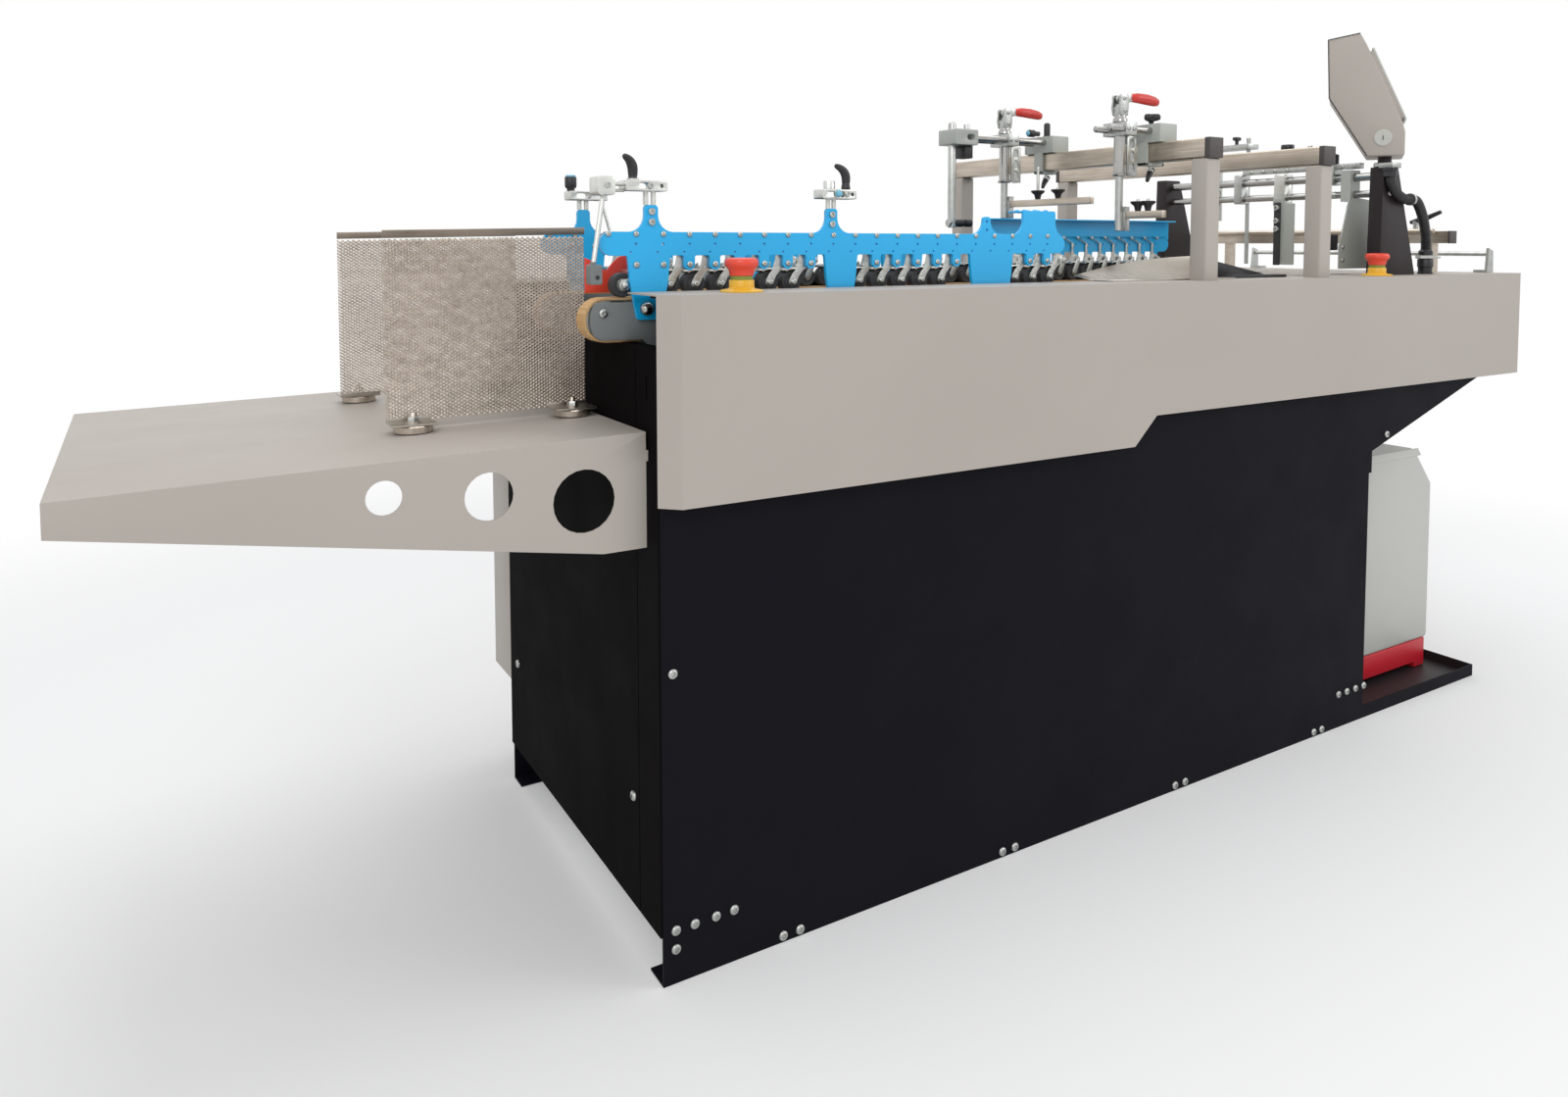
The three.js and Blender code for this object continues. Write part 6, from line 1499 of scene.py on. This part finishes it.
# %% Gland, ring and sleeve
GLAND_SPOT, SLEEVE_SPOT = (1796, 40), (1634, 27)
GLAND = [(15, 0), (15, 3), (13.6, 4), (13.6, 14), (15.4, 15), (15.4, 30), (14, 32)]
with piece("hose_gland", black_nylon, "frame", "hose_plastic", ["conduit"]) as bm:
    turned(bm, GLAND, (*GLAND_SPOT, WORK_TOP + 0.4), UP, 24)
    turned(bm, [(14, 0), (14, 7), (11, 10.5)], (*GLAND_SPOT, 941), UP, 24)
    turned(bm, [(12, 0), (13, 1), (13, 12), (15, 13), (15, 19)], (*SLEEVE_SPOT, 1101), UP, 8)
with piece("hose_ring", zinc, "frame", "zinc_steel", ["conduit"]) as bm:
    turned(bm, [(17, 0), (19, 1), (19, 7), (17, 8)], (*GLAND_SPOT, 932.6), UP, 6)
    blocky(bm, (1806, 30, 933.4), (1838, 50, 937.4), 1.4)
    turned(bm, [(12.6, 0), (12.6, 8)], (1712, 30, 1057), (1, 0.1, 0), 24)
    blocky(bm, (1620, 14, 1119), (1652, 44, 1130), 2)

# %% [markdown]
# ## Console details
# On the slanted face there is a pale frame with the dark screen in it. A round plug closes the key lock on
# the side. A fine dark line along the back edges is painted shadow, standing for the shade that the rear
# cover casts. All of it is modelled square to the drawing and then turned with the case.

# %% Console places
CASE_LOW, CASE_HEIGHT, CASE_DEPTH = 1144.3, 251.0, 146.0
CASE_TURN = Matrix.Rotation(math.radians(-58), 3, "Z")
NECK_SHARE = 0.76


def case_point(share, height):
    return (NECK[0] + (share - NECK_SHARE) * CASE_DEPTH, CASE_LOW + height * CASE_HEIGHT)


@contextmanager
def on_case(name, material):
    with piece(name, material, "console_case", "grey_plate") as bm:
        yield bm
        bmesh.ops.rotate(bm, cent=at(*NECK, 0), matrix=CASE_TURN, verts=bm.verts)


def slanted(bm, start, end, y0, y1, rise, edge):
    """A plate on the slanted face, from start to end along the slope and up to rise above it."""
    low, high = Vector(case_point(0.973, 0.25)), Vector(case_point(0.501, 0.896))
    way = (high - low).normalized()
    out = Vector((way.y, -way.x))
    a, b = low + way * start + out * 6, low + way * end + out * 6
    slab(bm, [a, b, b + out * (rise - 6), a + out * (rise - 6)], y0, y1, edge=edge)


print("the slanted face starts at", case_point(0.973, 0.25))

# %% Screen, lock and painted shadow line
lock_x, lock_z = case_point(0.726, 0.144)
# Points along the case's back edges, where a thin dark rod is painted shadow of the rear cover.
shadow_line_points = [case_point(*p) for p in ((0.41, 1), (0.0, 0.962), (0.03, 0.484), (0.53, 0))]
with on_case("screen_frame", pump_coat) as bm:
    slanted(bm, 8, 168, 18, 134, 10, 1.2)
with on_case("screen", screen_glass) as bm:
    slanted(bm, 19, 157, 27, 125, 10.6, 0.3)
with on_case("lock_plug", pump_coat) as bm:
    turned(bm, [(17, -1), (17, 1.6), (15.6, 3), (6, 3.2)], (lock_x, 11, lock_z), FRONT, 32)
# The key slot, and thin dark rods along the back edges that are painted shadow of the rear cover.
with on_case("case_seam", black_nylon) as bm:
    blocky(bm, (lock_x - 0.9, 7.2, lock_z - 4.5), (lock_x + 0.9, 9, lock_z + 4.5), 0.3)
    for (xa, za), (xb, zb) in zip(shadow_line_points, shadow_line_points[1:]):
        bent(bm, [(xa, 11.2, za), (xb, 11.2, zb)], 1.0, 6)

# %% [markdown]
# ## Pump lid
# The casing's lid is a sheet of its own, whose front edge is folded down over the front.

# %% Pump lid
with piece("pump_lid_edge", pump_coat, "frame", "pump_paint") as bm:
    slab(bm, [(1567, 494), (1873, 494), (1859.4, 511.4), (1567, 511.4)], 77.8, 80, edge=0.9)

# %% [markdown]
# ## Finishes for the nodes that stay
# A node whose shape is already right only needs its finish.

# %% Finishes by node
finishes = {
    black_coat: ["front_side_plate", "rear_side_plate", "drive_motor"],
    stand_coat: ["base_tray"],
    panel_coat: ["left_end_panel", "right_end_panel"],
    grey_coat: ["feed_table", "front_top_cover"],
    belt_cloth: ["front_belt", "rear_belt"],
    aluminium: ["front_nose_roller", "rear_nose_roller", "front_drive_roller", "rear_drive_roller"],
    zinc: ["drive_shaft", "guide_shaft", "end_stop_rod"],
    block_enamel: ["front_side_guide"],
    chrome: ["upper_cross_shaft", "lower_cross_shaft"],
    stainless_y: ["infeed_rail"],
}
for material, nodes in finishes.items():
    for node in nodes:
        mesh = frame["nodes"][node].data
        mesh.materials.clear()
        mesh.materials.append(material)
    print(material.name, "goes on", ", ".join(nodes))

# %% [markdown]
# ## Light and floor
# A plain studio: a pale floor that fades to white away from the machine, a bright sky all round, and three
# large soft lamps. The lamps are weak enough that a colour renders about as it is written.

# %% Lamps


def lamp(name, place, target, size, power):
    data = bpy.data.lights.new(name, "AREA")
    data.shape = "SQUARE"
    data.size = size
    data.energy = power
    made = bpy.data.objects.new(name, data)
    made.location = place
    made.rotation_mode = "QUATERNION"
    made.rotation_quaternion = (Vector(target) - Vector(place)).to_track_quat("-Z", "Y")
    bpy.context.collection.objects.link(made)
    print(name, "gives", power, "W")


lamp("left front lamp", (-3.2, -3.6, 3.6), (0.0, 0.0, 0.7), 2.6, 70)
lamp("right front lamp", (3.4, -3.2, 3.0), (0.4, 0.0, 0.8), 2.2, 40)
lamp("top lamp", (0.0, 0.6, 4.2), (0.0, 0.0, 0.5), 3.5, 60)

# %% [markdown]
# The camera and every mirror see white all round, while the machine itself is lit by a softer, slightly
# cool sky.

# %% Sky
WHITE = (1, 1, 1, 1)
world = bpy.data.worlds.new("studio")
world.use_nodes = True
tree = world.node_tree
tree.nodes.clear()
rays = add(tree, "ShaderNodeLightPath").outputs
seen = add(
    tree,
    "ShaderNodeMath",
    {"operation": "MAXIMUM"},
    {0: rays["Is Camera Ray"], 1: rays["Is Glossy Ray"]},
)
seen = add(
    tree,
    "ShaderNodeMath",
    {"operation": "MAXIMUM"},
    {0: seen.outputs[0], 1: rays["Is Transmission Ray"]},
)
soft = add(tree, "ShaderNodeBackground", {"Color": (0.97, 0.98, 1.0, 1), "Strength": 0.62})
white = add(tree, "ShaderNodeBackground", {"Color": WHITE, "Strength": 1.0})
both = add(tree, "ShaderNodeMixShader", (), {0: seen.outputs[0], 1: soft.outputs[0], 2: white.outputs[0]})
add(tree, "ShaderNodeOutputWorld", (), {"Surface": both.outputs[0]})
bpy.context.scene.world = world
print("the sky has strength", soft.inputs["Strength"].default_value)

# %% Floor finish
floor_finish, tree = blank_material("pale floor")
place = add(tree, "ShaderNodeTexCoord").outputs["Object"]
far = add(tree, "ShaderNodeVectorMath", {"operation": "LENGTH"}, {0: place})
fade = add(
    tree,
    "ShaderNodeMapRange",
    {"interpolation_type": "SMOOTHSTEP", "From Min": 1.9, "From Max": 3.4},
    {"Value": far.outputs["Value"]},
)
matt = add(tree, "ShaderNodeBsdfDiffuse", {"Color": (0.8, 0.8, 0.8, 1)})
glow = add(tree, "ShaderNodeEmission", {"Color": WHITE, "Strength": 0.16})
near = add(tree, "ShaderNodeAddShader", (), {0: matt.outputs[0], 1: glow.outputs[0]})
plain = add(tree, "ShaderNodeEmission", {"Color": WHITE, "Strength": 1.0})
rays = add(tree, "ShaderNodeLightPath").outputs
shown = add(
    tree,
    "ShaderNodeMath",
    {"operation": "MULTIPLY"},
    {0: fade.outputs[0], 1: rays["Is Camera Ray"]},
)
both = add(tree, "ShaderNodeMixShader", (), {0: shown.outputs[0], 1: near.outputs[0], 2: plain.outputs[0]})
add(tree, "ShaderNodeOutputMaterial", (), {"Surface": both.outputs[0]})

# %% Floor
bm = bmesh.new()
bmesh.ops.create_grid(bm, x_segments=1, y_segments=1, size=20)
floor_mesh = to_mesh(bm, "floor")
floor_mesh.materials.append(floor_finish)
floor = bpy.data.objects.new("floor", floor_mesh)
floor.location = (0, 0, -0.0005)
bpy.context.collection.objects.link(floor)
floor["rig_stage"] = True
print("the floor is", round(floor.dimensions.x), "m wide")

# %% Sizes and finish
low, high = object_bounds()
print("the dressed machine is", [round(b - a, 3) for a, b in zip(low, high)], "m")
